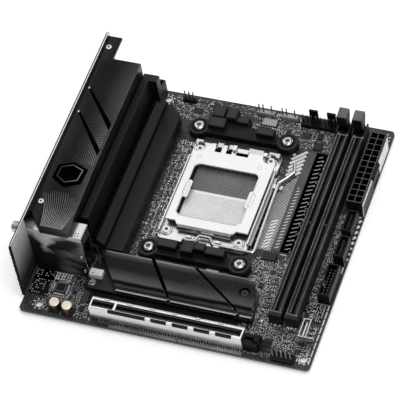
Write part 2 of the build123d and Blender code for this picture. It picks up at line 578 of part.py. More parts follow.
# ================================================================ storage cooler
def make_m2():
    low, top = 4.6, 9.2
    base_low, base_top = 2.0, 3.4
    near, far = 22.7, 44.4
    round_r, groove = 4.4, 0.7
    body_near = near + round_r / 2     # keeps the inner body under the rounding
    recess_z, recess_r, hole_r, pillar_r = 7.2, 3.1, 1.2, 2.5
    # left edge, two grooves and the clipped right end; each groove as its far and near x
    left = ((34.4, far), (51.0, near))
    first = ((65.6, far), (81.4, near))
    second = ((91.0, far), (121.8, near))
    groove_w = 1.7
    with BuildPart() as m2_heatsink:
        panels = [(left, first), (tuple((x + groove_w, y) for x, y in first), second)]
        for (far_l, near_l), (far_r, near_r) in panels:
            with BuildSketch(deck(low)):
                with BuildLine():
                    Polyline(far_l, far_r, near_r, near_l, close=True)
                make_face()
            extrude(amount=top - low)
        with BuildSketch(deck(low)):
            with BuildLine():
                Polyline((second[0][0] + groove_w, far), (121.5, far), (126.8, 42.6),
                         (129.4, 36.9), (131.0, near), (second[1][0] + groove_w, near),
                         close=True)
            make_face()
        extrude(amount=top - low)
        near_edges = m2_heatsink.edges().filter_by(Axis.X).group_by(Axis.Z)[-1].group_by(Axis.Y)[0]
        fillet(near_edges, radius=round_r)
        # body under the three panels, one groove depth inside them
        with BuildSketch(deck(low)):
            with BuildLine():
                Polyline((35.6, far - groove), (121.3, far - groove), (126.2, 42.1),
                         (128.7, 36.8), (130.1, body_near), (49.6, body_near), close=True)
            make_face()
        extrude(amount=top - low - groove)
        # flared lip along the near side
        for x, length in ((51.2, 30.4), (83.4, 38.6), (124.0, 6.8)):
            block(x, near - 1.1, low - 0.3, length, 2.2, 1.1)
        block(51.6, near, low, 79.0, 2.0, 0.8)
        # screw recess, with the boss under it that stands on the board's pillar
        screw_x, screw_y = M2_POSTS[1]
        post(screw_x, screw_y, recess_z, recess_r, top - recess_z, Mode.SUBTRACT)
        post(screw_x, screw_y, low, hole_r, top - low, Mode.SUBTRACT)
    save(m2_heatsink, "m2_heatsink")

    with BuildPart() as m2_base_plate:
        with BuildSketch(deck(base_low)):
            with BuildLine():
                Polyline((32.4, 21.4), (130.8, 21.4), (128.8, 37.0), (124.0, 43.4),
                         (36.6, 43.4), (32.4, 37.0), close=True)
            make_face()
        extrude(amount=base_top - base_low)
        block(112.4, 20.0, base_low, 8.0, 17.0, base_top - base_low, Mode.SUBTRACT)
        for x, y in M2_POSTS:
            post(x, y, base_low, 1.3, base_top - base_low, Mode.SUBTRACT)
    save(m2_base_plate, "m2_base_plate")

    with BuildPart() as m2_pillars:
        for x, y in M2_POSTS:
            post(x, y, 0.0, pillar_r, base_low)
            post(x, y, 0.0, 0.9, base_low, Mode.SUBTRACT)
    save(m2_pillars, "m2_pillars")

    with BuildPart() as m2_screws:
        x, y = M2_POSTS[0]
        post(x, y, base_top, 2.4, 1.0)
        post(x, y, 0.4, 0.9, base_top - 0.4)
        post(x, y, base_top + 0.4, 0.8, 0.6, Mode.SUBTRACT)
        x, y = M2_POSTS[1]
        post(x, y, 7.2, 2.6, 1.2)
        post(x, y, 0.4, 0.9, 6.8)
        post(x, y, 7.8, 0.9, 0.6, Mode.SUBTRACT)
    save(m2_screws, "m2_screws")

    with BuildPart() as m2_socket:
        block(113.0, 21.6, 0.0, 6.6, 14.8, 4.2)
        block(113.0, 23.0, 1.8, 2.8, 12.0, 1.2, Mode.SUBTRACT)
    save(m2_socket, "m2_socket")

    with BuildPart() as chipset:
        block(96.0, 24.4, 0.0, 15.0, 15.0, 0.7)
        block(99.4, 27.8, 0.7, 8.2, 8.2, 0.6)
    save(chipset, "chipset")


# ================================================================ expansion slot
def make_pcie():
    length = PCIE_X1 - PCIE_X0
    y0 = PCIE_Y - PCIE_W / 2
    skin = 0.4
    with BuildPart() as pcie_slot:
        block(PCIE_X0 + skin, y0 + skin, 0, length - 2 * skin, PCIE_W - 2 * skin, PCIE_H - skin)
        block(PCIE_X0 + 1.4, PCIE_Y - 0.95, 2.6, 12.0, 1.9, PCIE_H, Mode.SUBTRACT)
        block(PCIE_X0 + 15.2, PCIE_Y - 0.95, 2.6, 72.0, 1.9, PCIE_H, Mode.SUBTRACT)
        # end tower beyond the armour, with the latch pocket
        block(PCIE_X1 - skin, PCIE_Y - 3.2, 0, 2.0, 6.4, 0.35)
        block(PCIE_X1 + 0.05, PCIE_Y - 3.2, 0, 8.35, 6.4, 7.8)
        block(PCIE_X1 + 0.6, PCIE_Y - 0.95, 2.6, 8.0, 1.9, 6.0, Mode.SUBTRACT)
        block(PCIE_X1 + 5.2, PCIE_Y - 2.2, 1.0, 4.0, 4.4, 8.0, Mode.SUBTRACT)
    save(pcie_slot, "pcie_slot")

    with BuildPart() as pcie_armour:
        block(PCIE_X0, y0, 0.4, length, PCIE_W, PCIE_H - 0.4)
        block(PCIE_X0 + skin, y0 + skin, 0.4, length - 2 * skin, PCIE_W - 2 * skin,
              PCIE_H - skin - 0.4, Mode.SUBTRACT)
        block(PCIE_X0 + 0.9, PCIE_Y - 2.3, PCIE_H - 1, length - 1.8, 4.6, 2.0, Mode.SUBTRACT)
        block(PCIE_X0 + 13.6, PCIE_Y - 2.3, PCIE_H - skin, 1.4, 4.6, skin)
        # windows over the near top edge, one long and four short
        block(PCIE_X0 + 11.2, y0 - 1, 9.4, 22.0, 2.3, 2.4, Mode.SUBTRACT)
        windows = [(PCIE_X0 + 36.4 + 12.55 * index, y0 - 1) for index in range(4)]
        blocks(windows, 9.4, 9.2, 2.3, 2.4, Mode.SUBTRACT)
        # feet along both long edges
        feet = [PCIE_X0 + 4.0 + 13.2 * index for index in range(7)]
        blocks([(x, y0 - 0.1) for x in feet], 0.0, 1.6, skin + 0.1, 0.5)
        blocks([(x, y0 + PCIE_W - skin) for x in feet], 0.0, 1.6, skin + 0.1, 0.5)
    save(pcie_armour, "pcie_armour")

    with BuildPart() as pcie_latch:
        with BuildSketch(front(PCIE_Y - 1.9)):
            with BuildLine():
                Polyline((137.4, 1.6), (139.6, 1.6), (141.2, 4.4), (146.6, 5.2), (147.2, 6.6),
                         (141.8, 6.6), (140.4, 10.0), (138.0, 10.4), (137.4, 9.2), (138.6, 7.6),
                         (137.4, 4.0), close=True)
            make_face()
        extrude(amount=-3.8)
    save(pcie_latch, "pcie_latch")


# ================================================================ memory slots
def make_dimm(x, suffix):
    half = 3.3
    pocket_y = 155.6
    tower_x = x + TOWER_DX
    with BuildPart() as dimm_slot:
        block(x - half, DIMM_Y0, 0, 2 * half, pocket_y - DIMM_Y0, DIMM_H)
        block(x - 3.6, DIMM_Y0 - 1.4, 0, 7.2, 7.2, DIMM_H)
        block(tower_x - 3.8, pocket_y, 0, 7.6, DIMM_Y1 - pocket_y, DIMM_H + 0.6)
        block(x - 1.1, DIMM_Y0 + 2.0, 3.0, 2.2, pocket_y - DIMM_Y0, DIMM_H, Mode.SUBTRACT)
        # alignment key, off centre
        block(x - 1.1, 89.6, 3.0, 2.2, 1.8, DIMM_H - 3.6)
        # latch pocket, open upwards and outwards
        block(tower_x - 3.0, pocket_y + 0.4, 1.2, 6.0, 10.0, DIMM_H, Mode.SUBTRACT)
        # shallow channels along the top rails
        for rail_x in (x - 2.6, x + 1.8):
            block(rail_x, DIMM_Y0 + 3.0, DIMM_H - 0.5, 0.8, 124.0, 0.6, Mode.SUBTRACT)
        rod(tower_x - 3.8, LATCH_PIVOT_Y, LATCH_PIVOT_Z, 0.8, 7.6, Mode.SUBTRACT)
    save(dimm_slot, f"dimm_slot_{suffix}")

    with BuildPart() as dimm_latch:
        with BuildSketch(side(tower_x - LATCH_W / 2)):
            with BuildLine():
                Polyline((156.8, 21.0), (164.0, 21.6), (164.4, 18.6), (162.6, 12.6),
                         (163.4, 5.0), (162.6, 2.2), (158.4, 2.0), (157.4, 3.2),
                         (159.6, 5.6), (159.0, 11.2), (156.8, 14.0), close=True)
            make_face()
        extrude(amount=LATCH_W)
        rod(tower_x - 3.7, LATCH_PIVOT_Y, LATCH_PIVOT_Z, 0.74, 7.4)
    save(dimm_latch, f"dimm_latch_{suffix}")


def make_slot_contacts():
    """Contact rows inside the slots, one strip for each row of springs."""
    with BuildPart() as slot_contacts:
        for x in DIMM_X:
            for y0, length in ((29.4, 59.0), (92.8, 62.0)):
                block(x - 1.1, y0, 3.4, 0.3, length, 4.0)
                block(x + 0.8, y0, 3.4, 0.3, length, 4.0)
        for x0, length in ((PCIE_X0 + 2.0, 10.8), (PCIE_X0 + 16.0, 70.4)):
            block(x0, PCIE_Y - 0.95, 3.0, length, 0.3, 6.2)
            block(x0, PCIE_Y + 0.65, 3.0, length, 0.3, 6.2)
    save(slot_contacts, "slot_contacts")


# ================================================================ power and signal connectors
def power_cells(x0, y0, count_x, count_y):
    """Low corners of a power connector's cells."""
    return [(x0 + 0.5 + column * CELL, y0 + 0.5 + row * CELL)
            for column in range(count_x) for row in range(count_y)]


def power_housing(x0, y0, count_x, count_y):
    """Power housing with one square cell for each pin."""
    cells = power_cells(x0, y0, count_x, count_y)
    with BuildPart() as housing:
        block(x0, y0, 0, count_x * CELL + 1.0, count_y * CELL + 1.0, 12.8)
        blocks([(x + 0.35, y + 0.35) for x, y in cells], 2.0, CELL - 0.7, CELL - 0.7, 11.0,
               Mode.SUBTRACT)
        blocks([(x + 1.65, y + 1.65) for x, y in cells], 0.0, 0.9, 0.9, 2.0, Mode.SUBTRACT)
    return housing


def make_power():
    with BuildPart() as atx_power_connector:
        add(power_housing(*ATX).part)
        # latch ramp on the outer side, and the thin rib beside it
        with BuildSketch(front(126.4)):
            with BuildLine():
                Polyline((169.5, 12.4), (169.5, 7.2), (170.9, 9.0), (170.9, 10.6), close=True)
            make_face()
        extrude(amount=-11.0)
        block(169.5, 107.0, 0.0, 0.5, 19.0, 9.0)
    save(atx_power_connector, "atx_power_connector")
    save(power_housing(*CPU_POWER), "cpu_power_connector")
    with BuildPart() as power_pins:
        pins = [(x + 1.65, y + 1.65) for x, y in power_cells(*ATX) + power_cells(*CPU_POWER)]
        blocks(pins, 0.0, 0.9, 0.9, 8.6)
    save(power_pins, "power_pins")


def make_signal_connectors():
    with BuildPart() as sata_ports:
        for x, y in ((162.2, 88.9), (163.0, 70.9)):
            block(x, y, 0, 5.9, 14.7, 9.0)
            block(x + 1.2, y + 1.2, 2.4, 3.6, 12.3, 7.0, Mode.SUBTRACT)
            block(x + 2.2, y + 2.2, 2.4, 1.2, 10.3, 5.6)
    save(sata_ports, "sata_ports")

    with BuildPart() as usb_header:
        block(162.2, 43.6, 0, 6.8, 21.8, 9.0)
        block(163.2, 44.6, 1.6, 4.8, 19.8, 8.0, Mode.SUBTRACT)
        block(161.6, 51.6, 2.0, 2.0, 5.8, 7.4, Mode.SUBTRACT)
    save(usb_header, "usb_header")
    with BuildPart() as usb_c_header:
        block(159.9, 15.0, 0, 4.4, 12.4, 8.0)
        block(160.5, 15.6, 1.4, 3.2, 11.2, 7.0, Mode.SUBTRACT)
        block(161.7, 16.6, 1.4, 0.8, 9.2, 5.2)
    save(usb_c_header, "usb_c_header")

    fans = [(115.8, 161.4), (126.6, 161.4)]
    strips = [(88.0, 164.4), (102.2, 164.4)]
    speaker = (42.2, 164.0)
    panel = (148.0, 1.2)
    with BuildPart() as pin_headers:
        blocks(fans, 0, 10.0, 5.6, 2.6)
        blocks([(x + 4.2, y + 4.5) for x, y in fans], 2.6, 5.2, 1.1, 8.2)
        block(*speaker, 0, 7.6, 2.5, 2.5)
        block(*panel, 0, 12.8, 5.1, 2.5)
    save(pin_headers, "pin_headers")
    with BuildPart() as lighting_headers:
        blocks(strips, 0, 10.2, 2.5, 2.5)
    save(lighting_headers, "lighting_headers")

    pitch = 2.54
    spots = [(x + 0.7 + pitch * index, y + 2.0) for x, y in fans for index in range(4)]
    spots += [(x + 1.0 + pitch * index, y + 0.95) for x, y in strips for index in (0, 1, 3)]
    spots += [(speaker[0] + 0.95 + pitch * index, speaker[1] + 0.95) for index in range(3)]
    spots += [(panel[0] + 0.95 + pitch * index, panel[1] + row) for index in range(5)
              for row in (1.0, 3.5)]
    with BuildPart() as header_pins:
        blocks(spots, 2.6, 0.6, 0.6, 6.2)
        blocks([(x, 46.0 + 2.0 * row) for row in range(9) for x in (164.3, 166.3)],
               1.6, 0.6, 0.6, 5.6)
    save(header_pins, "header_pins")


# ================================================================ audio, battery, chips
def make_small_parts():
    with BuildPart() as capacitors:
        blocks([(x - 3.2, y - 3.2) for x, y in CAPACITORS], 0, 6.4, 6.4, 0.6)
        posts(CAPACITORS, 0.6, 2.95, 6.2)
        top = capacitors.faces().filter_by(Axis.Z).group_by(Axis.Z)[-1].edges()
        fillet(top, radius=0.5)
    save(capacitors, "capacitors")

    codec_x, codec_y, codec = 15.3, 15.6, 7.0
    with BuildPart() as chips:
        for x, y, size_x, size_y, tall in CHIPS:
            block(x, y, 0, size_x, size_y, tall)
        block(codec_x, codec_y, 0.1, codec, codec, 1.2)
        leads = [0.45 + 0.53 * index for index in range(12)]
        blocks([(codec_x + lead, codec_y - 1.0) for lead in leads], 0, 0.25, codec + 2.0, 0.4)
        blocks([(codec_x - 1.0, codec_y + lead) for lead in leads], 0, codec + 2.0, 0.25, 0.4)
    save(chips, "chips")

    with BuildPart() as smd_passives:
        for row_x, first_y, count in PASSIVE_COLUMNS:
            blocks([(row_x, first_y + 3.2 * index) for index in range(count)], 0, 1.6, 0.8, 0.8)
    save(smd_passives, "smd_passives")

    with BuildPart() as battery_connector:
        block(33.2, 28.0, 3.4, 7.6, 4.6, 3.2)
    save(battery_connector, "battery_connector")

    with BuildPart() as coin_cell:
        with Locations(Location((18.0 - DATUM_X, 41.6 - DATUM_Y, BOARD_T + 13.0), (-90, 0, 0))):
            Cylinder(10.2, 3.6, align=(Align.CENTER, Align.CENTER, Align.MIN))
    save(coin_cell, "coin_cell")


def make_battery_lead():
    """Two-core lead from the battery connector round to the coin cell."""
    lead_r = 0.8
    points = [(37.0, 32.6, 5.0), (37.0, 37.0, 5.0), (34.4, 42.0, 8.6), (33.2, 43.4, 13.0),
              (28.15, 43.4, 13.0)]
    with BuildPart() as battery_lead:
        with BuildLine(Plane((-DATUM_X, -DATUM_Y, BOARD_T))) as route:
            FilletPolyline(*points, radius=2.4)
        with BuildSketch(Plane(route.line @ 0, z_dir=route.line % 0)):
            Circle(lead_r)
        sweep()
    save(battery_lead, "battery_lead")
    length = sum(edge.length for edge in route.edges())
    print("battery lead length", round(length, 1), "volume ratio",
          round(battery_lead.part.volume / (math.pi * lead_r ** 2 * length), 3))


make_pcb()
make_socket()
make_load_plate()
make_load_lever()
make_backplate()
make_brackets()
make_vrm()
make_shield()
make_cover()
make_wifi()
make_ports()
make_m2()
make_pcie()
for slot_x, slot_name in zip(DIMM_X, ("a", "b")):
    make_dimm(slot_x, slot_name)
make_slot_contacts()
make_thermal_pads()
make_power()
make_signal_connectors()
make_small_parts()
make_battery_lead()
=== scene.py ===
"""Visual model of a Mini-ITX motherboard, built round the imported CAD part.

Positions are written in board millimetres: x from the rear-port edge, y from the slot edge and z from
the board's top face.  P() turns them into the part's frame, in metres.
"""
import math
import random

import bmesh
import bpy
from mathutils import Matrix, Vector
from mathutils.bvhtree import BVHTree


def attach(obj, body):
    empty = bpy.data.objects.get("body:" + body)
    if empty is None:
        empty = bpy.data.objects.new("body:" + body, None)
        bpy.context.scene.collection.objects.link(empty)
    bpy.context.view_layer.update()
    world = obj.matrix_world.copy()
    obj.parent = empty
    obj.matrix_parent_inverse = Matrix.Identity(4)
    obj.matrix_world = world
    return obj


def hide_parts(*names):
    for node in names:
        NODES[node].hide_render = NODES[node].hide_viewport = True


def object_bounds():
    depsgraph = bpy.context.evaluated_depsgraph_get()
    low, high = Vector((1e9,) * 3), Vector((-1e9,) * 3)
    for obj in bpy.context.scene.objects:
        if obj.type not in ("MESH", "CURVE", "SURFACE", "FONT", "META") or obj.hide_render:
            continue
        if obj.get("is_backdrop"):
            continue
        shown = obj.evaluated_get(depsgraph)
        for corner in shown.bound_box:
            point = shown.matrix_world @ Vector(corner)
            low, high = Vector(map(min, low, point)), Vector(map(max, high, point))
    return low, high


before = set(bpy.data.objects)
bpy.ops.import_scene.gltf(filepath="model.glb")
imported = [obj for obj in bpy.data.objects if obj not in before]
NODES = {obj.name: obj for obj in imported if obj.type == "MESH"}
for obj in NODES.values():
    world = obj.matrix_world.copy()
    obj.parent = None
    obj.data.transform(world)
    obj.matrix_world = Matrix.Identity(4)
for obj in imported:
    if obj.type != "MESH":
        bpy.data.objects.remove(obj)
CAD_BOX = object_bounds()
rng = random.Random(20)

MM = 0.001
THICK = 1.6                             # board thickness
DATUM = Vector((87.63, 6.35, -THICK))   # the part's origin in board millimetres
UP, DOWN = Vector((0, 0, 1)), Vector((0, 0, -1))


def P(x, y, z=0.0):
    """Board millimetres to the part's frame in metres."""
    return (Vector((x, y, z)) - DATUM) * MM


def add_object(name, data):
    """Object of some data, linked into the scene."""
    obj = bpy.data.objects.new(name, data)
    bpy.context.scene.collection.objects.link(obj)
    return obj


# ---- materials
def grey(value, warm=0.0):
    """A near-neutral colour, slightly warm or cool."""
    return (value * (1 + warm), value, value * (1 - warm), 1.0)


def tone(color):
    """A number is a neutral grey, and anything else is a colour already."""
    return grey(color) if isinstance(color, float) else color


def scaled(color, factor, lift=0.0):
    """The colour made lighter or darker."""
    return tuple(min(1.0, c * factor + lift) for c in color[:3]) + (1.0,)


MAT = {}


class Finish:
    """One procedural material: grain, blotches, roughness variation, bump, and rounded edges lightened
    partly as wear and partly as a painted edge highlight.
    """

    def __init__(self, name, color, rough, metal=0.0, specular=0.5):
        self.name = name
        self.material = bpy.data.materials.new(name)
        self.material.use_nodes = True
        self.tree = self.material.node_tree
        self.tree.nodes.clear()
        self.coords = self.add("TexCoord").outputs["Object"]
        self.color, self.rough, self.metal, self.specular = tone(color), rough, metal, specular
        self.color_socket = None

    def add(self, kind, inputs=None, **settings):
        """Shader node whose inputs are set to plain values or linked to sockets."""
        node = self.tree.nodes.new("ShaderNode" + kind)
        for key, value in settings.items():
            setattr(node, key, value)
        for key, value in (inputs or {}).items():
            if hasattr(value, "links"):
                self.tree.links.new(value, node.inputs[key])
            else:
                node.inputs[key].default_value = value
        return node

    def noise(self, scale, detail=3.0, stretch=(1, 1, 1)):
        """Noise over the piece; stretch above 1 makes it finer along that axis."""
        place = self.add("Mapping", {"Vector": self.coords, "Scale": stretch}).outputs[0]
        return self.add("TexNoise", {"Vector": place, "Scale": scale, "Detail": detail}).outputs["Fac"]

    def voronoi(self, scale, **settings):
        """Distance field of a cell pattern over the piece."""
        cells = self.add("TexVoronoi", {"Vector": self.coords, "Scale": scale}, **settings)
        return cells.outputs["Distance"]

    def remap(self, source, low, high, out_low=0.0, out_high=1.0):
        values = (source, low, high, out_low, out_high)
        return self.add("MapRange", dict(enumerate(values))).outputs[0]

    def math(self, operation, *values):
        return self.add("Math", dict(enumerate(values)), operation=operation).outputs[0]

    def mix(self, factor, a, b, blend="MIX"):
        """Colour mix; the factor and both colours are plain values or sockets."""
        return self.add("Mix", {0: factor, 6: a, 7: b}, data_type="RGBA", blend_type=blend).outputs[2]

    def axes(self):
        """The x, y and z sockets of the piece's coordinates."""
        return self.add("SeparateXYZ", {0: self.coords}).outputs

    def profile(self, axis, start, stop, stops, sway):
        """Grey that follows a profile of (place, value) stops along one axis of the board."""
        wander = self.remap(self.noise(55.0, 1.0), 0.3, 0.7, -sway, sway)
        place = self.remap(self.axes()[axis], P(start, start, start)[axis], P(stop, stop, stop)[axis])
        ramp = self.add("ValToRGB", {0: self.math("ADD", place, wander)})
        marks = ramp.color_ramp.elements
        while len(marks) < len(stops):
            marks.new(0.5)
        for mark, (where, value) in zip(marks, stops):
            mark.position = where
            mark.color = grey(value)
        return ramp.outputs[0]

    def build(self, grain=1800.0, tint=0.18, blotch=45.0, bump=0.25, depth=0.00004, wear=0.0,
              edge=None, bevel=0.00022, stretch=(1, 1, 1), rough_range=0.10, height=None, glow=0.0):
        """Join the finish together; the edge colour lightens the rounded edges, partly as wear and
        partly as a painted edge highlight.
        """
        fine = self.noise(grain, 3.0, stretch)
        both = self.math("ADD", fine, self.noise(blotch, 2.0))
        if self.color_socket is None:
            color = self.mix(self.remap(both, 0.7, 1.3), scaled(self.color, 1 - tint),
                             scaled(self.color, 1 + tint))
        else:
            spread = self.remap(both, 0.7, 1.3, 1 - tint, 1 + tint)
            color = self.mix(1.0, self.color_socket, spread, "MULTIPLY")
        rough = self.remap(both, 0.6, 1.4, max(0.03, self.rough - rough_range),
                           min(1.0, self.rough + rough_range))
        round_edge = self.add("Bevel", {"Radius": bevel}, samples=4).outputs[0]
        # rounded edges mixed towards the edge colour: partly wear, partly a painted edge highlight
        if wear:
            flat = self.add("NewGeometry").outputs["Normal"]
            turned = self.add("VectorMath", {0: round_edge, 1: flat}, operation="DOT_PRODUCT")
            wear_and_sheen_mask = self.math("MULTIPLY", self.remap(turned.outputs["Value"], 0.99, 0.86, 0.0, wear),
                             self.remap(fine, 0.3, 0.6, 0.6, 1.0))
            color = self.mix(wear_and_sheen_mask, color, tone(edge) or scaled(self.color, 3, 0.03))
        relief = fine if height is None else self.math("ADD", fine, height)
        bumps = self.add("Bump", {"Strength": bump, "Distance": depth, "Height": relief,
                                  "Normal": round_edge})
        shader = self.add("BsdfPrincipled", {
            "Metallic": self.metal, "Specular IOR Level": self.specular, "Base Color": color,
            "Roughness": rough, "Normal": bumps.outputs[0], "Emission Color": (1, 1, 1, 1),
            "Emission Strength": glow})
        self.add("OutputMaterial", {"Surface": shader.outputs[0]})
        MAT[self.name] = self.material


def plain(name, color, rough, metal=0.0, specular=0.5, **kw):
    Finish(name, color, rough, metal, specular).build(**kw)


def board_material():
    """Dark laminate: faint copper traces under the mask, tiny vias and weave."""
    f = Finish("board_mask", grey(0.034, -0.03), 0.42, specular=0.3)
    line = f.remap(f.voronoi(260.0, feature="DISTANCE_TO_EDGE"), 0.02, 0.05, 1.0, 0.0)
    wave = f.add("TexWave", {"Vector": f.coords, "Scale": 260.0, "Distortion": 1.5},
                 bands_direction="DIAGONAL")
    zone = f.remap(f.noise(38.0, 1.0), 0.5, 0.6)
    bundle = f.math("MULTIPLY", f.remap(wave.outputs["Fac"], 0.45, 0.7), zone)
    marks = f.math("MAXIMUM", line, bundle)
    f.color_socket = f.mix(f.math("MULTIPLY", marks, 0.5), grey(0.022, -0.03), grey(0.10, -0.02))
    f.build(grain=2600, tint=0.25, blotch=60, bump=0.3, depth=0.00003, height=marks, wear=0.35)


def painted_reflection_sheet_material():
    """Thin bright sheet with a painted reflection: a painted highlight along the top fold, a pale
    painted wedge under it and a faint painted band to the right, their edges wobbled by noise as on a
    rippled sheet.
    """
    f = Finish("sheet_painted_reflection", 0.4, 0.30, 0.45)
    x, _, z = f.axes()
    middle, right_from, right_to = P(9.5, 0)[0], P(13, 0)[0], P(25, 0)[0]
    wedge_foot, wedge_slope = 0.0175, 1.9
    waves = f.remap(f.noise(70.0, 2.0, (1, 1, 2.2)), 0.3, 0.7, -1.0, 1.0)
    ripple = f.math("MULTIPLY", waves, 0.0035)
    across = f.math("ABSOLUTE", f.math("ADD", f.math("SUBTRACT", x, middle), ripple))
    depth = f.math("SUBTRACT", f.math("SUBTRACT", z, wedge_foot),
                   f.math("MULTIPLY", across, wedge_slope))
    wedge = f.remap(depth, -0.001, 0.006, 0.0, 0.82)
    fold_highlight = f.remap(f.math("ADD", z, ripple), 0.0300, 0.0355, 0.0, 0.70)
    right = f.math("MULTIPLY", f.remap(x, right_from, right_to),
                   f.remap(f.noise(60.0, 2.0, (0.7, 1, 2.6)), 0.48, 0.66, 0.0, 0.28))
    # the sheet's painted highlights: wedge, top fold and right-hand band
    light = f.math("MAXIMUM", f.math("MAXIMUM", wedge, fold_highlight), right)
    f.color_socket = f.mix(light, grey(0.012), grey(0.9))
    f.build(grain=500, tint=0.08, bump=0.05, depth=0.00001, rough_range=0.05)


def with_painted_reflection(name, axis, start, stop, stops, rough, metal, sway=0.05, **kw):
    """Finish with a painted reflection: its grey drifts along one axis of the board, fixed by the
    part's form.
    """
    f = Finish(name, stops[2][1], rough, metal, specular=0.3)
    f.color_socket = f.profile(axis, start, stop, stops, sway)
    f.build(**kw)


def mesh_material():
    """Black perforated sheet at the bottom of the heatsink's channel."""
    f = Finish("vent_mesh", 0.012, 0.5)
    dot = f.remap(f.voronoi(700.0), 0.2, 0.4, 1.0, 0.0)
    f.color_socket = f.mix(dot, grey(0.008), grey(0.10))
    f.build(grain=2400, height=dot)


ARMOUR_NEAR, ARMOUR_FAR = 22.7, 44.4      # near and far edge of the drive heatsink
COVER_RIGHT = 25.5                        # the rear cover runs from the board's edge to here
ON_ARMOUR = (1, ARMOUR_NEAR, ARMOUR_FAR)  # axis, start and end of each painted-reflection finish
ON_COVER = (0, 0.0, COVER_RIGHT)
ON_FAN = (1, 31.0, 57.0)
ON_SHIELD = (2, -1.5, 44.5)
FINE_STEEL = dict(depth=0.00002, wear=0.5, edge=0.95, bevel=0.0003)
COVER_LINES = dict(grain=2400, tint=0.25, bump=0.2)

board_material()
painted_reflection_sheet_material()
mesh_material()
plain("black_plastic", 0.0045, 0.42, specular=0.16, wear=0.4, edge=0.05)
plain("slot_plastic", 0.012, 0.46, specular=0.2, wear=0.8, edge=0.11, grain=2600, tint=0.5, bump=0.5)
# light grey: a painted highlight on the tops of black slots and connectors, and two strips in front of
# the expansion slot
plain("slot_edge", 0.19, 0.5, specular=0.3, grain=1500, tint=0.7, bump=0.6)
plain("socket_plastic", 0.02, 0.5, specular=0.3, wear=0.3)
plain("bracket_plastic", grey(0.006, -0.02), 0.46, specular=0.18, wear=0.6, edge=0.07, grain=2200,
      bump=0.4)
# lighter copy of the bracket plastic: painted light on the bracket tops
plain("bracket_top_painted_light", grey(0.022, -0.04), 0.5, specular=0.3, wear=0.5, edge=0.09, grain=2200, bump=0.5)
plain("latch_plastic", 0.0045, 0.5, specular=0.16, wear=0.4, edge=0.06, grain=1500, tint=0.5, bump=0.6)
plain("latch_grip_plastic", 0.16, 0.55, specular=0.3, wear=0.5, edge=0.2, grain=1300, tint=0.6,
      bump=0.9, depth=0.00015)
plain("grey_plastic", grey(0.34, 0.01), 0.45, wear=0.3, edge=0.6)
# white plastic, and a painted highlight on the power connector's side face
plain("white_plastic", grey(0.75, 0.02), 0.4, wear=0.2, edge=0.9)
plain("bright_steel", grey(0.64, 0.004), 0.24, 1.0, grain=900, tint=0.05, bump=0.04,
      stretch=(1, 8, 1), rough_range=0.06, **FINE_STEEL)
plain("frame_steel", grey(0.60, 0.004), 0.28, 1.0, grain=1100, tint=0.12, bump=0.12,
      rough_range=0.08, **FINE_STEEL)
plain("shield_steel", 0.50, 0.22, 1.0, grain=500, tint=0.06, bump=0.02, depth=0.00001,
      stretch=(1, 1, 4), wear=0.5, edge=0.9, rough_range=0.04, bevel=0.0003)
plain("blackened_steel", 0.012, 0.38, specular=0.3, wear=0.5, edge=0.12)
plain("screw_steel", 0.58, 0.24, 1.0, grain=1500, tint=0.1, bump=0.15, depth=0.00002, wear=0.4,
      edge=0.95, rough_range=0.07)
plain("contact_gold", (0.72, 0.56, 0.30, 1), 0.32, 1.0, grain=1500, tint=0.12, wear=0.2,
      edge=(0.95, 0.85, 0.6, 1))
plain("contact_shade", grey(0.10, 0.03), 0.42, 1.0, grain=1500, tint=0.3)
plain("pin_metal", grey(0.15, 0.04), 0.36, 1.0, grain=1500, tint=0.2, wear=0.3, edge=0.8)
plain("anodised_black", 0.0075, 0.42, specular=0.22, grain=2600, tint=0.4, bump=0.5, depth=0.00003,
      wear=0.7, edge=0.055)
# near-black without specular: black parts, and painted shade in gaps, slots, grooves, pockets and cell
# openings
plain("black_and_painted_shade", 0.0012, 0.8, specular=0.0, grain=2400, tint=0.5)
plain("thermal_pad", grey(0.40, -0.03), 0.7, grain=1200, bump=0.6)
plain("foam_strip", 0.010, 0.9, specular=0.1, grain=900, tint=0.9, bump=1.0, depth=0.0003)
plain("insulating_film", 0.010, 0.25, specular=0.3, wear=0.2)
plain("chip_body", 0.012, 0.5, specular=0.3, grain=2200, tint=0.3, wear=0.4, edge=0.07)
plain("choke_ferrite", 0.03, 0.6, specular=0.3, grain=1400, tint=0.3, wear=0.3)
plain("ceramic", (0.13, 0.125, 0.119, 1), 0.5, grain=1600, tint=0.3, wear=0.3,
      edge=(0.4, 0.37, 0.34, 1))
# black bodies, and painted shade in screw recesses and in the shield's vent holes
plain("black_body_and_painted_shade", 0.006, 0.4, specular=0.3, grain=1600, wear=0.3)
plain("tin_ends", 0.95, 0.34, 0.72, grain=2500, tint=0.3, bump=0.6, wear=0.3, edge=0.8)
plain("capacitor_can", (0.95, 0.85, 0.68, 1), 0.34, 0.75, grain=900, tint=0.08, bump=0.1, wear=0.3,
      edge=(0.95, 0.9, 0.75, 1))
plain("capacitor_sleeve", (0.030, 0.021, 0.010, 1), 0.25, 0.6, wear=0.3)
plain("cell_steel", 0.60, 0.28, 1.0, grain=1200, tint=0.08, wear=0.4)
plain("lead_sheath", 0.010, 0.4, specular=0.3, grain=1200, wear=0.1)
plain("silk_ink", 0.80, 0.6, specular=0.2, grain=2400, tint=0.15, bump=0.3)
plain("grey_ink", grey(0.10, -0.02), 0.6, specular=0.2, grain=2400, tint=0.2, bump=0.3)
# black patches: painted shadow before the drive heatsink, dark board elsewhere
plain("black_mask_and_painted_shade", 0.006, 0.5, specular=0.15, grain=2400, tint=0.4, wear=0.2)
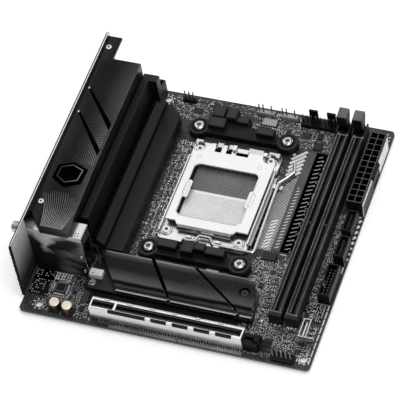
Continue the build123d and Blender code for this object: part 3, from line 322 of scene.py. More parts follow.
# lighter and darker copies of the contact metal: painted light and shade for the two halves of the
# socket
plain("springs_painted_shade", grey(0.55, 0.01), 0.40, 1.0, grain=2500, tint=0.25)
plain("springs_painted_light", grey(0.90, 0.01), 0.36, 1.0, grain=2500, tint=0.1)
plain("contact_bed_painted_shade", 0.16, 0.5, 0.6, grain=2500, tint=0.3)
plain("contact_bed_painted_light", 0.80, 0.5, 0.6, grain=2500, tint=0.1)
# painted reflections and highlights: greys that drift across the drive heatsink, the rear cover and the
# shield
with_painted_reflection("anodised_grey_painted_reflection", *ON_ARMOUR,
       [(0.0, 0.36), (0.10, 0.003), (0.20, 0.060), (0.34, 0.040), (0.52, 0.012), (0.80, 0.013),
        (0.93, 0.050), (1.0, 0.19)],
       0.26, 1.0, 0.02, grain=900, tint=0.10, bump=0.03, depth=0.00001, wear=0.6, edge=0.35,
       stretch=(1, 14, 1), rough_range=0.05)
with_painted_reflection("machined_streaks_painted_reflection", *ON_ARMOUR,
       [(0.0, 0.02), (0.25, 0.21), (0.5, 0.085), (0.8, 0.055), (1.0, 0.14)],
       0.3, 1.0, grain=2200, tint=0.2)
with_painted_reflection("cover_black_painted_reflection", *ON_COVER,
       [(0.0, 0.022), (0.3, 0.008), (0.6, 0.010), (0.85, 0.030), (1.0, 0.050)],
       0.34, 0.9, depth=0.00001, wear=0.6, edge=0.22, **COVER_LINES)
with_painted_reflection("cover_lines_painted_reflection", *ON_COVER, [(0.0, 0.045), (0.35, 0.030), (0.6, 0.09), (1.0, 0.32)],
       0.34, 0.9, **COVER_LINES)
with_painted_reflection("cover_faint_lines_painted_reflection", *ON_COVER, [(0.0, 0.016), (0.5, 0.028), (1.0, 0.13)],
       0.36, 0.9, **COVER_LINES)
with_painted_reflection("cover_fan_lines_painted_highlight", *ON_FAN, [(0.0, 0.62), (0.35, 0.46), (0.6, 0.24), (1.0, 0.10)],
       0.34, 0.7, **COVER_LINES)
with_painted_reflection("shield_inner_painted_reflection", *ON_SHIELD,
       [(0.0, 0.010), (0.25, 0.03), (0.45, 0.16), (0.7, 0.45), (1.0, 0.70)],
       0.34, 0.2, grain=500, tint=0.10, bump=0.05, depth=0.00001)

NODE_FINISH = {
    "board_mask": "pcb",
    "black_plastic": "atx_power_connector cpu_power_connector sata_ports usb_header pin_headers"
                     " pcie_slot pcie_latch m2_socket bios_switch bios_button audio_jack_stack",
    "slot_plastic": "dimm_slot_a dimm_slot_b",
    "socket_plastic": "socket_housing",
    "bracket_plastic": "cooler_bracket_far cooler_bracket_near",
    "latch_plastic": "dimm_latch_a dimm_latch_b",
    "grey_plastic": "lighting_headers",
    "white_plastic": "battery_connector",
    "bright_steel": "load_plate load_lever pcie_armour",
    "frame_steel": "socket_frame",
    "shield_steel": "io_shield wifi_bracket lan_usb_stack usb_stacks usb_c_port display_port_stack"
                    " usb_c_header",
    "blackened_steel": "backplate m2_base_plate",
    "screw_steel": "socket_screws cooler_screws heatsink_screws io_cover_screws m2_pillars m2_screws"
                   " antenna_jacks",
    "pin_metal": "power_pins header_pins",
    "contact_shade": "slot_contacts",
    "contact_bed_painted_shade": "socket_contacts",
    "anodised_black": "vrm_heatsink",
    "anodised_grey_painted_reflection": "m2_heatsink",
    "cover_black_painted_reflection": "io_cover",
    "thermal_pad": "thermal_pads",
    "foam_strip": "io_shield_gasket",
    "insulating_film": "backplate_insulator",
    "chip_body": "chips chipset vrm_power_stages wifi_module",
    "choke_ferrite": "vrm_chokes",
    "ceramic": "smd_passives",
    "capacitor_can": "capacitors",
    "cell_steel": "coin_cell",
    "lead_sheath": "battery_lead",
}
for finish_name, names in NODE_FINISH.items():
    for node_name in names.split():
        for slot in NODES[node_name].material_slots:
            slot.material = MAT[finish_name]


# ---- mesh building
BOX_FACES = [(3, 2, 1, 0), (4, 5, 6, 7), (0, 1, 5, 4), (1, 2, 6, 5), (2, 3, 7, 6), (3, 0, 4, 7)]
SQUARE = ((-1, -1), (1, -1), (1, 1), (-1, 1))


def corners(x0, y0, x1, y1):
    """Counter-clockwise outline of a rectangle."""
    return [(x0, y0), (x1, y0), (x1, y1), (x0, y1)]


def circle(x, y, radius, sides):
    """Counter-clockwise outline of a circle."""
    return [(x + radius * math.cos(math.tau * i / sides), y + radius * math.sin(math.tau * i / sides))
            for i in range(sides)]


def rounded(x0, y0, x1, y1, r, steps=6):
    """Counter-clockwise outline of a rounded rectangle."""
    points = []
    for cx, cy, start in ((x1 - r, y0 + r, -90), (x1 - r, y1 - r, 0), (x0 + r, y1 - r, 90),
                          (x0 + r, y0 + r, 180)):
        for i in range(steps + 1):
            t = math.radians(start + 90 * i / steps)
            points.append((cx + r * math.cos(t), cy + r * math.sin(t)))
    return points


class Shape:
    """Boxes, prisms, rods and turned forms collected into one mesh, in board millimetres."""

    def __init__(self, *finishes):
        self.finishes = finishes
        self.verts, self.faces, self.index = [], [], []

    def quads(self, verts, faces, finish=0):
        start = len(self.verts)
        self.verts += [tuple(v) for v in verts]
        self.faces += [tuple(start + i for i in face) for face in faces]
        self.index += [finish] * len(faces)

    def tube(self, verts, n, finish):
        """Closed form through rings of n points each."""
        last = len(verts) - n
        faces = [tuple(range(n - 1, -1, -1)), tuple(range(last, last + n))]
        for low in range(0, last, n):
            faces += [(low + i, low + (i + 1) % n, low + n + (i + 1) % n, low + n + i)
                      for i in range(n)]
        self.quads(verts, faces, finish)

    def box(self, x, y, z, dx, dy, dz, finish=0, turn=0.0, lean=(0.0, 0.0), taper=0.0):
        """Box from its low corner; turn is about its own centre, lean shifts the top."""
        cx, cy = x + dx / 2, y + dy / 2
        c, s = math.cos(turn), math.sin(turn)
        verts = []
        for level, height in ((0, z), (1, z + dz)):
            shrink = taper * level
            for sx, sy in SQUARE:
                px = sx * (dx / 2 - shrink) + lean[0] * level
                py = sy * (dy / 2 - shrink) + lean[1] * level
                verts.append((cx + px * c - py * s, cy + px * s + py * c, height))
        self.quads(verts, BOX_FACES, finish)

    def row(self, count, step, x, y, z, *size, **kw):
        """Equal boxes in a line; step is the way in x and y from one to the next."""
        for i in range(count):
            self.box(x + step[0] * i, y + step[1] * i, z, *size, **kw)

    def prism(self, outline, z0, z1, finish=0, taper=0.0):
        """Upright prism on a counter-clockwise outline; the top can be drawn in a little."""
        n = len(outline)
        mx, my = (sum(p[k] for p in outline) / n for k in (0, 1))
        top = []
        for x, y in outline:
            d = math.hypot(x - mx, y - my) or 1.0
            top.append((x - (x - mx) / d * taper, y - (y - my) / d * taper, z1))
        self.tube([(x, y, z0) for x, y in outline] + top, n, finish)

    def ridge(self, a, b, width, height, finish=0):
        """Small roof-shaped ridge from a to b, both (x, y, z)."""
        a, b = Vector(a), Vector(b)
        along = (b - a).normalized()
        across = Vector((-along.y, along.x, 0)).normalized() * width / 2
        up = Vector((0, 0, height))
        verts = [a - across, a + across, a + up, b - across, b + across, b + up]
        self.quads(verts, [(0, 2, 1), (3, 4, 5), (0, 3, 5, 2), (1, 2, 5, 4), (0, 1, 4, 3)], finish)

    def rod(self, a, b, radius, finish=0, sides=12):
        """Closed round bar from a to b."""
        a, b = Vector(a), Vector(b)
        along = (b - a).normalized()
        side = along.orthogonal().normalized()
        other = along.cross(side)
        self.tube([centre + (side * x + other * y) * radius for centre in (a, b)
                   for x, y in circle(0, 0, 1, sides)], sides, finish)

    def turned(self, centre, profile, finish=0, sides=24, lobes=6, axis="Z"):
        """Turned form from (radius, height, lobe depth) rings; the ends are closed."""
        verts = []
        for ring in profile:
            radius, height, depth = (*ring, 0.0)[:3]
            for i in range(sides):
                t = math.tau * i / sides
                r = radius * (1 + depth * math.cos(lobes * t))
                u, v = r * math.cos(t), r * math.sin(t)
                local = {"X": (height, u, v), "Y": (v, height, u), "Z": (u, v, height)}[axis]
                verts.append(tuple(c + d for c, d in zip(centre, local)))
        self.tube(verts, sides, finish)

    def loop(self, outline, width, z0, z1, finish=0):
        """Raised band along a closed outline: width outwards from it."""
        n = len(outline)
        points = [Vector(p) for p in outline]
        verts = []
        for i, p in enumerate(points):
            before, after = (p - points[i - 1]).normalized(), (points[(i + 1) % n] - p).normalized()
            normal = Vector((before.y + after.y, -before.x - after.x)).normalized()
            q = p + normal * width
            verts += [(p.x, p.y, z0), (p.x, p.y, z1), (q.x, q.y, z1), (q.x, q.y, z0)]
        faces = []
        for i in range(n):
            a, b = 4 * i, 4 * ((i + 1) % n)
            faces += [(a + k, a + (k + 1) % 4, b + (k + 1) % 4, b + k) for k in range(4)]
        self.quads(verts, faces, finish)

    def piece(self, name, body="board", bevel=0.0, smooth=False, replaces=()):
        """Make the object, with its faces turned outwards, and fix it to its body."""
        mesh = bpy.data.meshes.new(name)
        mesh.from_pydata([P(*v) for v in self.verts], [], self.faces)
        for finish in self.finishes:
            mesh.materials.append(MAT[finish])
        mesh.polygons.foreach_set("material_index", self.index)
        mesh.validate()
        solid = bmesh.new()
        solid.from_mesh(mesh)
        bmesh.ops.recalc_face_normals(solid, faces=solid.faces)
        solid.to_mesh(mesh)
        solid.free()
        obj = add_object(name, mesh)
        if smooth:
            mesh.polygons.foreach_set("use_smooth", [True] * len(mesh.polygons))
            mesh.set_sharp_from_angle(angle=math.radians(35))
        if bevel:
            modifier = obj.modifiers.new("bevel", "BEVEL")
            modifier.width = bevel * MM
            modifier.segments = 2
            modifier.limit_method = "ANGLE"
        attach(obj, body)
        if replaces:
            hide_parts(*replaces)


def screw(shape, x, y, z, head, recess, shank, foot, finish=0, lobes=6, sides=36, floor_sides=24):
    """Screw with a lobed head on z, a dark floor in its recess as painted shade, and a shank down to
    foot.
    """
    shape.turned((x, y, z), head, finish, sides, lobes)
    shape.turned((x, y, z), recess, 1, floor_sides)
    shape.rod((x, y, foot), (x, y, z), shank)


def clip_line(polygon, origin, direction):
    """Part of an endless line inside a convex counter-clockwise polygon, or None."""
    shortest, parallel = 0.4, 1e-9
    low, high = -math.inf, math.inf
    for (ax, ay), (bx, by) in zip(polygon, polygon[1:] + polygon[:1]):
        nx, ny = by - ay, ax - bx
        inside = nx * (origin[0] - ax) + ny * (origin[1] - ay)
        slope = nx * direction[0] + ny * direction[1]
        if abs(slope) < parallel:
            if inside > 0:
                return None
        elif slope > 0:
            high = min(high, -inside / slope)
        else:
            low = max(low, -inside / slope)
    return (low, high) if high - low >= shortest else None


def stripes(polygon, angle, pitch):
    """Both ends of evenly spaced parallel lines in a convex polygon, and their normal."""
    direction = (math.cos(math.radians(angle)), math.sin(math.radians(angle)))
    normal = (-direction[1], direction[0])
    spread = [p[0] * normal[0] + p[1] * normal[1] for p in polygon]
    for i in range(int((max(spread) - min(spread)) / pitch) + 1):
        offset = min(spread) + (i + 0.5) * pitch
        origin = (normal[0] * offset, normal[1] * offset)
        span = clip_line(polygon, origin, direction)
        if span:
            a, b = [(origin[0] + direction[0] * t, origin[1] + direction[1] * t) for t in span]
            yield a, b, normal


def hatch(shape, polygon, angle, pitch, width, height, level, finish=0):
    """Parallel ridges inside a convex polygon; level(x, y) is the surface they stand on."""
    for a, b, _ in stripes(polygon, angle, pitch):
        shape.ridge((*a, level(*a)), (*b, level(*b)), width, height, finish)


# ---- free board area
def solid_tree(names):
    """Search tree over CAD nodes, in the part's frame."""
    verts, polygons = [], []
    for name in names:
        mesh = NODES[name].data
        start = len(verts)
        verts += [v.co.copy() for v in mesh.vertices]
        polygons += [tuple(start + i for i in p.vertices) for p in mesh.polygons]
    return BVHTree.FromPolygons(verts, polygons)


ABOVE = solid_tree([n for n in sorted(NODES) if n != "pcb"])
BOARD = solid_tree(["pcb"])


def is_free(x, y, dx, dy):
    """True where a part of that size can stand on the board's top face."""
    margin, reach = 0.25, 7.0
    for sx in (-1, 0, 1):
        for sy in (-1, 0, 1):
            px, py = x + sx * (dx / 2 + margin), y + sy * (dy / 2 + margin)
            if ABOVE.ray_cast(P(px, py, -0.02), UP, reach * MM)[0] is not None:
                return False
            if BOARD.ray_cast(P(px, py, 0.5), DOWN, 0.7 * MM)[0] is None:
                return False
    return True


class Placer:
    """Keeps parts on the board apart from each other."""

    def __init__(self):
        self.taken = []

    def claim(self, x, y, dx, dy, gap=0.12):
        for ox, oy, ow, oh in self.taken:
            if abs(x - ox) < (dx + ow) / 2 + gap and abs(y - oy) < (dy + oh) / 2 + gap:
                return False
        if not is_free(x, y, dx, dy):
            return False
        self.taken.append((x, y, dx, dy))
        return True


placer = Placer()


# ---- small board parts
def laid_box(shape, x, y, upright, along, across, z, length, width, dz, finish, **kw):
    """Box centred at (along, across) in a part at (x, y); an upright part lies along y."""
    if upright:
        along, across, length, width = across, along, width, length
    shape.box(x + along - length / 2, y + across - width / 2, z, length, width, dz, finish, **kw)


def chip_part(shape, x, y, length, width, height, upright, body):
    """Two-ended ceramic or resistor: body with tinned ends that wrap over it."""
    end = length * 0.24
    laid_box(shape, x, y, upright, 0, 0, 0.02, length - 0.04, width - 0.04, height - 0.03, body)
    for side in (-1, 1):
        laid_box(shape, x, y, upright, side * (length - end) / 2, 0, 0, end, width, height, 2)


def leaded_part(shape, x, y, dx, dy, height, legs, upright):
    """Black moulded package with bent legs along two sides."""
    shape.box(x - dx / 2, y - dy / 2, 0.12, dx, dy, height - 0.12, 3, taper=0.12)
    shape.turned((x - dx * 0.3, y - dy * 0.3, height), [(0.22, -0.02), (0.22, 0.02)], 4, sides=8)
    long, wide = (dy, dx) if upright else (dx, dy)
    for i in range(legs):
        t = ((i + 0.5) / legs - 0.5) * long
        for side in (-1, 1):
            laid_box(shape, x, y, upright, t, side * (wide / 2 + 0.28), 0, 0.34, 0.64, 0.16, 2)
            laid_box(shape, x, y, upright, t, side * wide / 2, 0.1, 0.34, 0.28, height * 0.5, 2)


def scatter(shape, zone, count, sizes, body_share):
    """Chip parts over a zone, on a half-millimetre grid like a routed board."""
    grid, tries = 0.5, 8
    x0, x1, y0, y1 = zone
    for _ in range(count):
        for _ in range(tries):
            x = round(rng.uniform(x0, x1) / grid) * grid
            y = round(rng.uniform(y0, y1) / grid) * grid
            length, width, height = rng.choice(sizes)
            upright = rng.random() < 0.5
            dx, dy = (width, length) if upright else (length, width)
            if placer.claim(x, y, dx, dy):
                chip_part(shape, x, y, length, width, height, upright,
                          0 if rng.random() < body_share else 1)
                break


TINY, SMALL, MEDIUM = (1.0, 0.5, 0.4), (1.6, 0.8, 0.6), (2.0, 1.25, 0.8)
USUAL = (TINY, TINY, SMALL)
LEG_ROOM = 1.2
parts = Shape("ceramic", "black_body_and_painted_shade", "tin_ends", "chip_body", "grey_ink")

# moulded packages with legs: centre x, y, width, depth, height, legs, upright
PACKAGES = [(121.0, 155.2, 5.6, 4.4, 1.2, 5, False), (129.2, 156.4, 3.6, 4.6, 1.0, 3, True),
            (130.6, 151.2, 3.4, 3.6, 1.0, 3, True), (110.2, 155.6, 3.0, 2.6, 1.0, 3, True),
            (53.6, 158.8, 5.0, 4.0, 1.2, 4, False), (122.0, 40.6, 4.0, 3.2, 1.1, 4, True),
            (128.0, 47.4, 3.4, 3.4, 1.0, 3, True), (131.6, 57.4, 3.0, 2.6, 1.0, 3, False),
            (126.0, 30.6, 3.2, 3.2, 1.0, 3, True), (158.6, 34.2, 3.0, 3.0, 1.0, 3, True),
            (27.6, 18.0, 3.0, 2.6, 1.0, 3, True), (35.2, 8.4, 3.4, 4.0, 1.1, 3, True),
            (143.2, 12.6, 4.6, 3.6, 1.2, 4, False), (160.6, 9.8, 3.6, 3.0, 1.0, 3, False),
            (60.2, 37.2, 3.0, 2.6, 1.0, 3, True)]
for x, y, dx, dy, height, legs, upright in PACKAGES:
    if placer.claim(x, y, dx + LEG_ROOM * upright, dy + LEG_ROOM * (not upright)):
        leaded_part(parts, x, y, dx, dy, height, legs, upright)

# zone (x from, x to, y from, y to), count, part sizes, share of ceramic bodies
ZONES = [((49.6, 58.6, 60, 136), 230, (TINY, TINY, SMALL, MEDIUM), 0.7),
         ((36, 60, 152, 168), 90, USUAL, 0.5), ((88, 142, 146, 168), 190, USUAL, 0.5),
         ((60, 88, 160, 169), 24, (TINY, TINY), 0.5), ((118.5, 140, 44, 66), 210, USUAL, 0.75),
         ((118.5, 139.5, 22, 44), 130, USUAL, 0.7), ((156.5, 162, 30, 105), 200, USUAL, 0.6),
         ((124, 167, 3, 28), 300, USUAL, 0.5), ((12, 42, 2.5, 12), 60, USUAL, 0.5),
         ((11.5, 32, 11, 30), 110, USUAL, 0.4), ((29, 50, 33, 46), 70, USUAL, 0.5),
         ((46, 60, 46, 60), 40, USUAL, 0.6), ((113, 119, 60, 130), 30, (TINY,), 0.5),
         ((136, 140, 60, 140), 40, (TINY,), 0.6)]
for zone, count, sizes, share in ZONES:
    scatter(parts, zone, count, sizes, share)
parts.piece("board_small_parts")

# ---- printed ink
ink = Shape("silk_ink", "grey_ink", "black_and_painted_shade", "grey_plastic", "black_mask_and_painted_shade", "slot_edge")
INK_Z, INK_T = 0.01, 0.03


def bar(x, y, dx, dy, finish=0, turn=0.0, z=INK_Z, count=1, pitch=0.0):
    """Ink bar, or a column of them."""
    ink.row(count, (0, pitch), x, y, z, dx, dy, INK_T, finish, turn)


def ticks(zone, count):
    """Short ink strokes on free board, like the corner marks and part outlines of a layout."""
    x0, x1, y0, y1 = zone
    for _ in range(count):
        x, y = rng.uniform(x0, x1), rng.uniform(y0, y1)
        length = rng.uniform(0.5, 1.6)
        dx, dy = (length, 0.18) if rng.random() < 0.5 else (0.18, length)
        if placer.claim(x, y, dx, dy, gap=0.05):
            bar(x - dx / 2, y - dy / 2, dx, dy)


def band(polygon, angle, pitch, width, finish, z=INK_Z):
    """Flat ink stripes inside a convex polygon."""
    for (ax, ay), (bx, by), normal in stripes(polygon, angle, pitch):
        wx, wy = normal[0] * width / 2, normal[1] * width / 2
        ink.prism([(ax - wx, ay - wy), (bx - wx, by - wy), (bx + wx, by + wy), (ax + wx, ay + wy)],
                  z, z + INK_T, finish)


# outlines round the larger parts, then short strokes between the small ones
for x, y, dx, dy in placer.taken:
    if dx * dy > 4.0:
        ink.loop(corners(x - dx / 2 - 0.2, y - dy / 2 - 0.2, x + dx / 2 + 0.2, y + dy / 2 + 0.2),
                 0.16, INK_Z, INK_T)
for zone, count, _, _ in ZONES:
    ticks(zone, count)

# diagonal stripe field beside the lever, its fine hatch, the grey lane and the black lane
band([(117.5, 124.9), (125.3, 127.7), (125.1, 144.6), (117.5, 140.6)], 44, 2.2, 1.7, 0)
band([(117.4, 71.6), (125.4, 71.6), (125.3, 127.0), (119.9, 118.4), (116.9, 112.0)], 44, 1.0, 0.36, 0)
ink.prism([(125.8, 72.6), (130.3, 72.6), (130.3, 144.6), (125.6, 144.6)], INK_Z, INK_T, 1)
ink.prism([(130.6, 72.2), (137.4, 72.2), (137.2, 145.0), (130.6, 145.0)], INK_Z, 0.035, 2)
# plain scale marks along both lanes
band([(132.6, 74.4), (136.0, 74.4), (135.8, 142.6), (132.6, 142.6)], 28, 2.7, 0.55, 3, 0.035)
band(corners(127.1, 74.4, 129.2, 118.0), 28, 2.0, 0.5, 0, 0.03)
bar(119.4, 73.4, 4.4, 1.1, turn=0.5, z=0.05, count=9, pitch=2.3)
# rows of paired bars beside the regulator cooler
for x in (50.6, 53.4, 56.2):
    bar(x, 66.4, 0.34, 4.2, count=11, pitch=6.1)
    bar(x + 1.0, 66.9, 0.34, 3.2, 1, count=11, pitch=6.1)
bar(131.7, 70.4, 4.0, 0.5)
bar(135.2, 67.4, 0.5, 3.4)
# slanted marks along the right edge, and the two strips in front of the expansion slot
bar(165.8, 74.2, 4.2, 1.7, turn=0.75, count=9, pitch=3.9)
for x0, x1 in ((53.6, 93.6), (94.3, 131.2)):
    ink.prism(corners(x0, 0.4, x1, 2.4), INK_Z, INK_T, 5)
bar(94.4, 50.6, 7.2, 0.8)
# broken line along the right edge, and dashes beside the signal headers
bar(168.4, 3.6, 0.6, 4.4, count=14, pitch=5.2)
for x, y, dx, dy in ((161.8, 43.4, 6.4, 0.6), (162.9, 23.0, 3.8, 0.8), (162.1, 20.2, 4.4, 0.8)):
    bar(x, y, dx, dy)
# black patches before the drive heatsink, behind the rear ports and between the signal headers; the one
# before the drive heatsink is a painted shadow
for patch in ((36.0, 11.6, 131.0, 23.4), (1.0, 12.0, 12.4, 30.0), (1.0, 22.6, 33.0, 30.2),
              (155.6, 30.4, 167.6, 43.0)):
    ink.prism(corners(*patch), 0.002, 0.008, 4)
ink.piece("board_ink")

# ---- solder pads
pads = Shape("tin_ends", "contact_gold", "silk_ink")


def dot(x, y, radius, finish=0, sides=8, height=0.06):
    pads.turned((x, y, 0.0), [(radius, -0.02), (radius, height * 0.7), (radius * 0.8, height)],
                finish, sides)


# plated rings and stitched dots round the four case holes
CASE_HOLES = ((10.16, 6.35), (165.10, 6.35), (33.02, 163.83), (165.10, 163.83))
HOLE_R, STITCH_R = 2.05, 3.4
for hx, hy in CASE_HOLES:
    pads.loop(circle(hx, hy, HOLE_R, 24), 0.35, -0.02, 0.04)
    for i in range(8):
        t = math.tau * (i + 0.5) / 8
        dot(hx + STITCH_R * math.cos(t), hy + STITCH_R * math.sin(t), 0.5, 2)
# points behind the rear ports, and rows of pads above the audio chip
for i in range(7):
    for k in range(11):
        x, y = 1.6 + 1.4 * i, 13.6 + 1.5 * k
        if rng.random() < 0.5 and is_free(x, y, 0.6, 0.6):
            dot(x, y, 0.32, 2)
for x in (13.4, 14.9, 16.8, 18.3, 20.2, 21.7):
    for y in (25.0, 26.7, 28.4):
        if is_free(x, y, 0.8, 0.9):
            pads.box(x - 0.45, y - 0.5, 0.0, 0.9, 1.0, 0.7, 2, taper=0.08)
# field of short pins between the signal headers, with a gap at every seventh place
for i in range(4):
    for k in range(8):
        x, y = 163.0 + 1.27 * i, 31.7 + 1.45 * k
        if (3 * i + 5 * k) % 7 and is_free(x, y, 0.6, 0.6):
            pads.box(x - 0.3, y - 0.3, 0.0, 0.6, 0.6, 1.3, 2 * (i % 2), taper=0.1)
for x, y in ((145.6, 92.0), (154.9, 92.0), (135.3, 25.2), (141.6, 24.2), (143.2, 24.0),
             (151.2, 24.0)):
    if is_free(x, y, 0.5, 0.5):
        dot(x, y, 0.8, sides=12, height=0.3)
for _ in range(420):
    x, y = rng.uniform(2, 168), rng.uniform(2, 168)
    if is_free(x, y, 0.4, 0.4) and placer.claim(x, y, 0.4, 0.4, gap=0.05):
        dot(x, y, rng.choice((0.16, 0.2, 0.28)), rng.choice((0, 0, 0, 0, 0, 1)), height=0.03)
pads.piece("board_pads")

# ---- processor socket
SOCKET_X, SOCKET_Y = 86.0, 100.2
PRESSED = 6.55          # top of the load plate
COOLER = (27.0, 45.0)   # half the cooler's screw spacing


def four_places(half_x, half_y):
    """The four places that far from the socket's middle."""
    return [(SOCKET_X + sx * half_x, SOCKET_Y + sy * half_y) for sx in (-1, 1) for sy in (-1, 1)]


def springs(name, y0, finish, lean):
    """Field of leaning contact springs on the standard pitch."""
    field = Shape(finish)
    for column in range(45):
        for row in range(19):
            x, y = SOCKET_X - 17.82 + 0.81 * column, y0 + 0.94 * row
            field.box(x - 0.15, y - 0.26, 2.66, 0.30, 0.52, 0.42, 0, lean=(0.0, lean), taper=0.04)
    field.piece(name)


# the near half's bed and springs in a lighter copy of the contact metal, the far half's in a darker
# one: painted light and shade for the two ways the springs lean
bed = Shape("contact_bed_painted_light")
bed.box(SOCKET_X - 18.4, SOCKET_Y - 18.9, 2.6, 36.8, 19.8, 0.12)
bed.piece("contact_bed")
springs("contact_springs_near", SOCKET_Y - 18.4, "springs_painted_light", 0.22)
springs("contact_springs_far", SOCKET_Y + 1.6, "springs_painted_shade", -0.22)

# heads are rings of radius, height and depth of the lobes
frame_head = [(3.3, 0.0), (3.3, 0.7), (3.1, 0.9), (2.45, 0.95), (2.45, 1.35), (2.3, 1.5),
              (1.05, 1.5, 0.16), (1.0, 0.9, 0.16)]
frame_screws = Shape("screw_steel", "contact_shade")
for x, y in four_places(21.6, 30.0):
    screw(frame_screws, x, y, 2.3, frame_head, [(1.1, 0.55), (1.1, 0.92), (0.3, 1.05)], 1.5, -3.6)
frame_screws.piece("frame_screws", smooth=True, replaces=["socket_screws"])

cooler_head = [(3.5, 0.0), (3.5, 1.5), (3.2, 2.1), (2.6, 2.5), (1.5, 2.6), (1.5, 2.55, 0.0),
               (1.3, 2.5, 0.12), (1.25, 1.6, 0.12)]
cooler = Shape("screw_steel", "contact_shade")
for x, y in four_places(*COOLER):
    screw(cooler, x, y, 3.6, cooler_head, [(1.15, 1.5), (1.15, 1.9), (0.4, 2.2)], 1.6, -3.5)
    for i in range(3):
        t = math.tau * (i / 3 + 0.1)
        cooler.box(x + 2.1 * math.cos(t) - 0.45, y + 2.1 * math.sin(t) - 0.2, 5.7, 0.9, 0.4, 0.52,
                   1, turn=t)
cooler.piece("cooler_screw_set", smooth=True, replaces=["cooler_screws"])

# pressed rims and ovals on the load plate
rims = Shape("bright_steel")
rims.loop(rounded(66.7, 79.7, 105.3, 117.1, 3.2), 0.55, PRESSED, 6.78)
for x in (67.0, 106.3):
    rims.loop(rounded(x - 1.0, 94.2, x + 1.0, 103.0, 1.0), 0.35, PRESSED, 6.74)
for x in (67.0, 103.6):
    rims.loop(rounded(x - 1.2, 121.0, x + 1.2, 123.0, 0.9), 0.2, PRESSED, 6.68)
rims.piece("plate_rims", "load_plate", bevel=0.08)

# pressed side rail beside the lever, with black liners as painted shade in the gap between them and in
# the frame's open slots
rail = Shape("bright_steel", "black_and_painted_shade")
rail.box(113.15, 71.3, 2.29, 1.4, 40.8, 0.07)
rail.ridge((114.4, 71.4, 2.34), (114.4, 111.9, 2.34), 0.4, 0.2)
rail.box(114.7, 68.4, 0.02, 2.0, 43.6, 0.04, 1)
for x, width in ((72.7, 5.7), (79.5, 5.3), (85.7, 9.1)):
    rail.box(x, 128.0, 2.31, width, 5.0, 0.04, 1)
rail.piece("frame_rail", bevel=0.05)

# ringed ears and raised block tops on the cooler brackets, in a lighter copy of the bracket plastic:
# painted light on the top faces
ears = Shape("bracket_top_painted_light")
for x, y in four_places(*COOLER):
    ears.loop(circle(x, y, 5.0, 32), 0.9, 4.55, 5.1)
for x, y, dx, dy, z in ((64.8, 144.5, 9.8, 7.2, 8.0), (65.0, 151.6, 7.3, 8.0, 8.8),
                        (73.5, 151.4, 6.4, 7.6, 9.0), (79.8, 151.0, 7.4, 4.4, 7.2),
                        (94.2, 144.5, 10.4, 5.2, 8.4), (64.4, 54.8, 11.4, 5.6, 8.6),
                        (78.6, 53.6, 7.2, 7.6, 9.4), (85.8, 56.6, 6.2, 4.8, 9.4),
                        (92.6, 55.4, 11.2, 5.2, 9.0)):
    ears.box(x + 0.35, y + 0.35, z - 0.1, dx - 0.7, dy - 0.7, 0.3, taper=0.3)
ears.piece("bracket_rims", bevel=0.12)

# ---- rear cover
ROOF = 42.0                       # height of the cover's flat roof
FLAT_Y, FALL = 74.0, 2.6 / 44.5   # where the near end starts to fall, and its slope


def roof(_, y):
    """Height of the cover's roof, which is the same at every x."""
    return ROOF - 0.02 - max(0.0, FLAT_Y - y) * FALL


# ridges on the cover's roof; their grey is a painted reflection, lighter towards the cover's right edge
ridges = Shape("cover_lines_painted_reflection", "black_and_painted_shade", "screw_steel", "cover_faint_lines_painted_reflection")
hatch(ridges, [(2.1, 131.2), (23.6, 107.4), (23.6, 151.6), (2.1, 151.6)], -52, 1.15, 0.7, 0.10, roof, 3)
hatch(ridges, [(2.1, 113.2), (23.4, 88.4), (23.4, 102.2), (2.1, 128.0)], 8, 1.25, 0.8, 0.2, roof)
hatch(ridges, [(2.1, 76.0), (24.0, 76.0), (24.0, 83.2), (2.1, 110.0)], -52, 1.25, 0.8, 0.2, roof)
# two slanted grooves filled black as painted shade, each with a bright tip at its left end
for left, right in ((128.8, 102.8), (110.8, 83.8)):
    ridges.prism([(2.1, left - 0.2), (23.8, right - 0.4), (23.8, right + 4.2), (2.1, left + 1.8)],
                 ROOF - 0.72, ROOF + 0.02, 1)
    ridges.prism([(1.4, left + 0.5), (2.2, left - 0.3), (2.8, left + 0.9), (1.7, left + 1.9)],
                 ROOF - 0.5, ROOF + 0.22, 2, taper=0.2)
ridges.piece("cover_ridges")

# fan of fine arcs on the near end, their grey a painted highlight that fades towards the far end
arcs = Shape("cover_fan_lines_painted_highlight")
for k in range(17):
    last = None
    for i in range(13):
        t = i / 12
        y = 31.2 + 26.0 * t
        x = (8.6 + 0.78 * k) * (1 - t) + (0.6 + 1.42 * k) * t + 1.6 * math.sin(math.pi * t)
        inside = 1.4 < x < 24.2 and (x - 8.4) + (y - 30.0) > 0.6 and y < 57.0 - abs(x - 12.0) * 0.4
        if inside and last:
            arcs.ridge((*last, roof(*last)), (x, y, roof(x, y)), 0.46, 0.14)
        last = (x, y) if inside else None
arcs.piece("cover_arcs")

emblem = Shape("black_and_painted_shade", "cover_lines_painted_reflection")
hexagon = [(3.6, 63.4), (12.0, 58.6), (21.4, 62.6), (22.6, 73.0), (13.0, 76.6), (4.2, 72.8)]
middle, inset = (13.0, 67.6), 0.66
emblem.prism(hexagon, 41.0, ROOF + 0.28, 0, taper=0.5)
emblem.loop([tuple(m + (p - m) * inset for p, m in zip(point, middle)) for point in hexagon],
            0.7, ROOF + 0.2, ROOF + 0.42, 1)
emblem.piece("cover_panel", bevel=0.1)

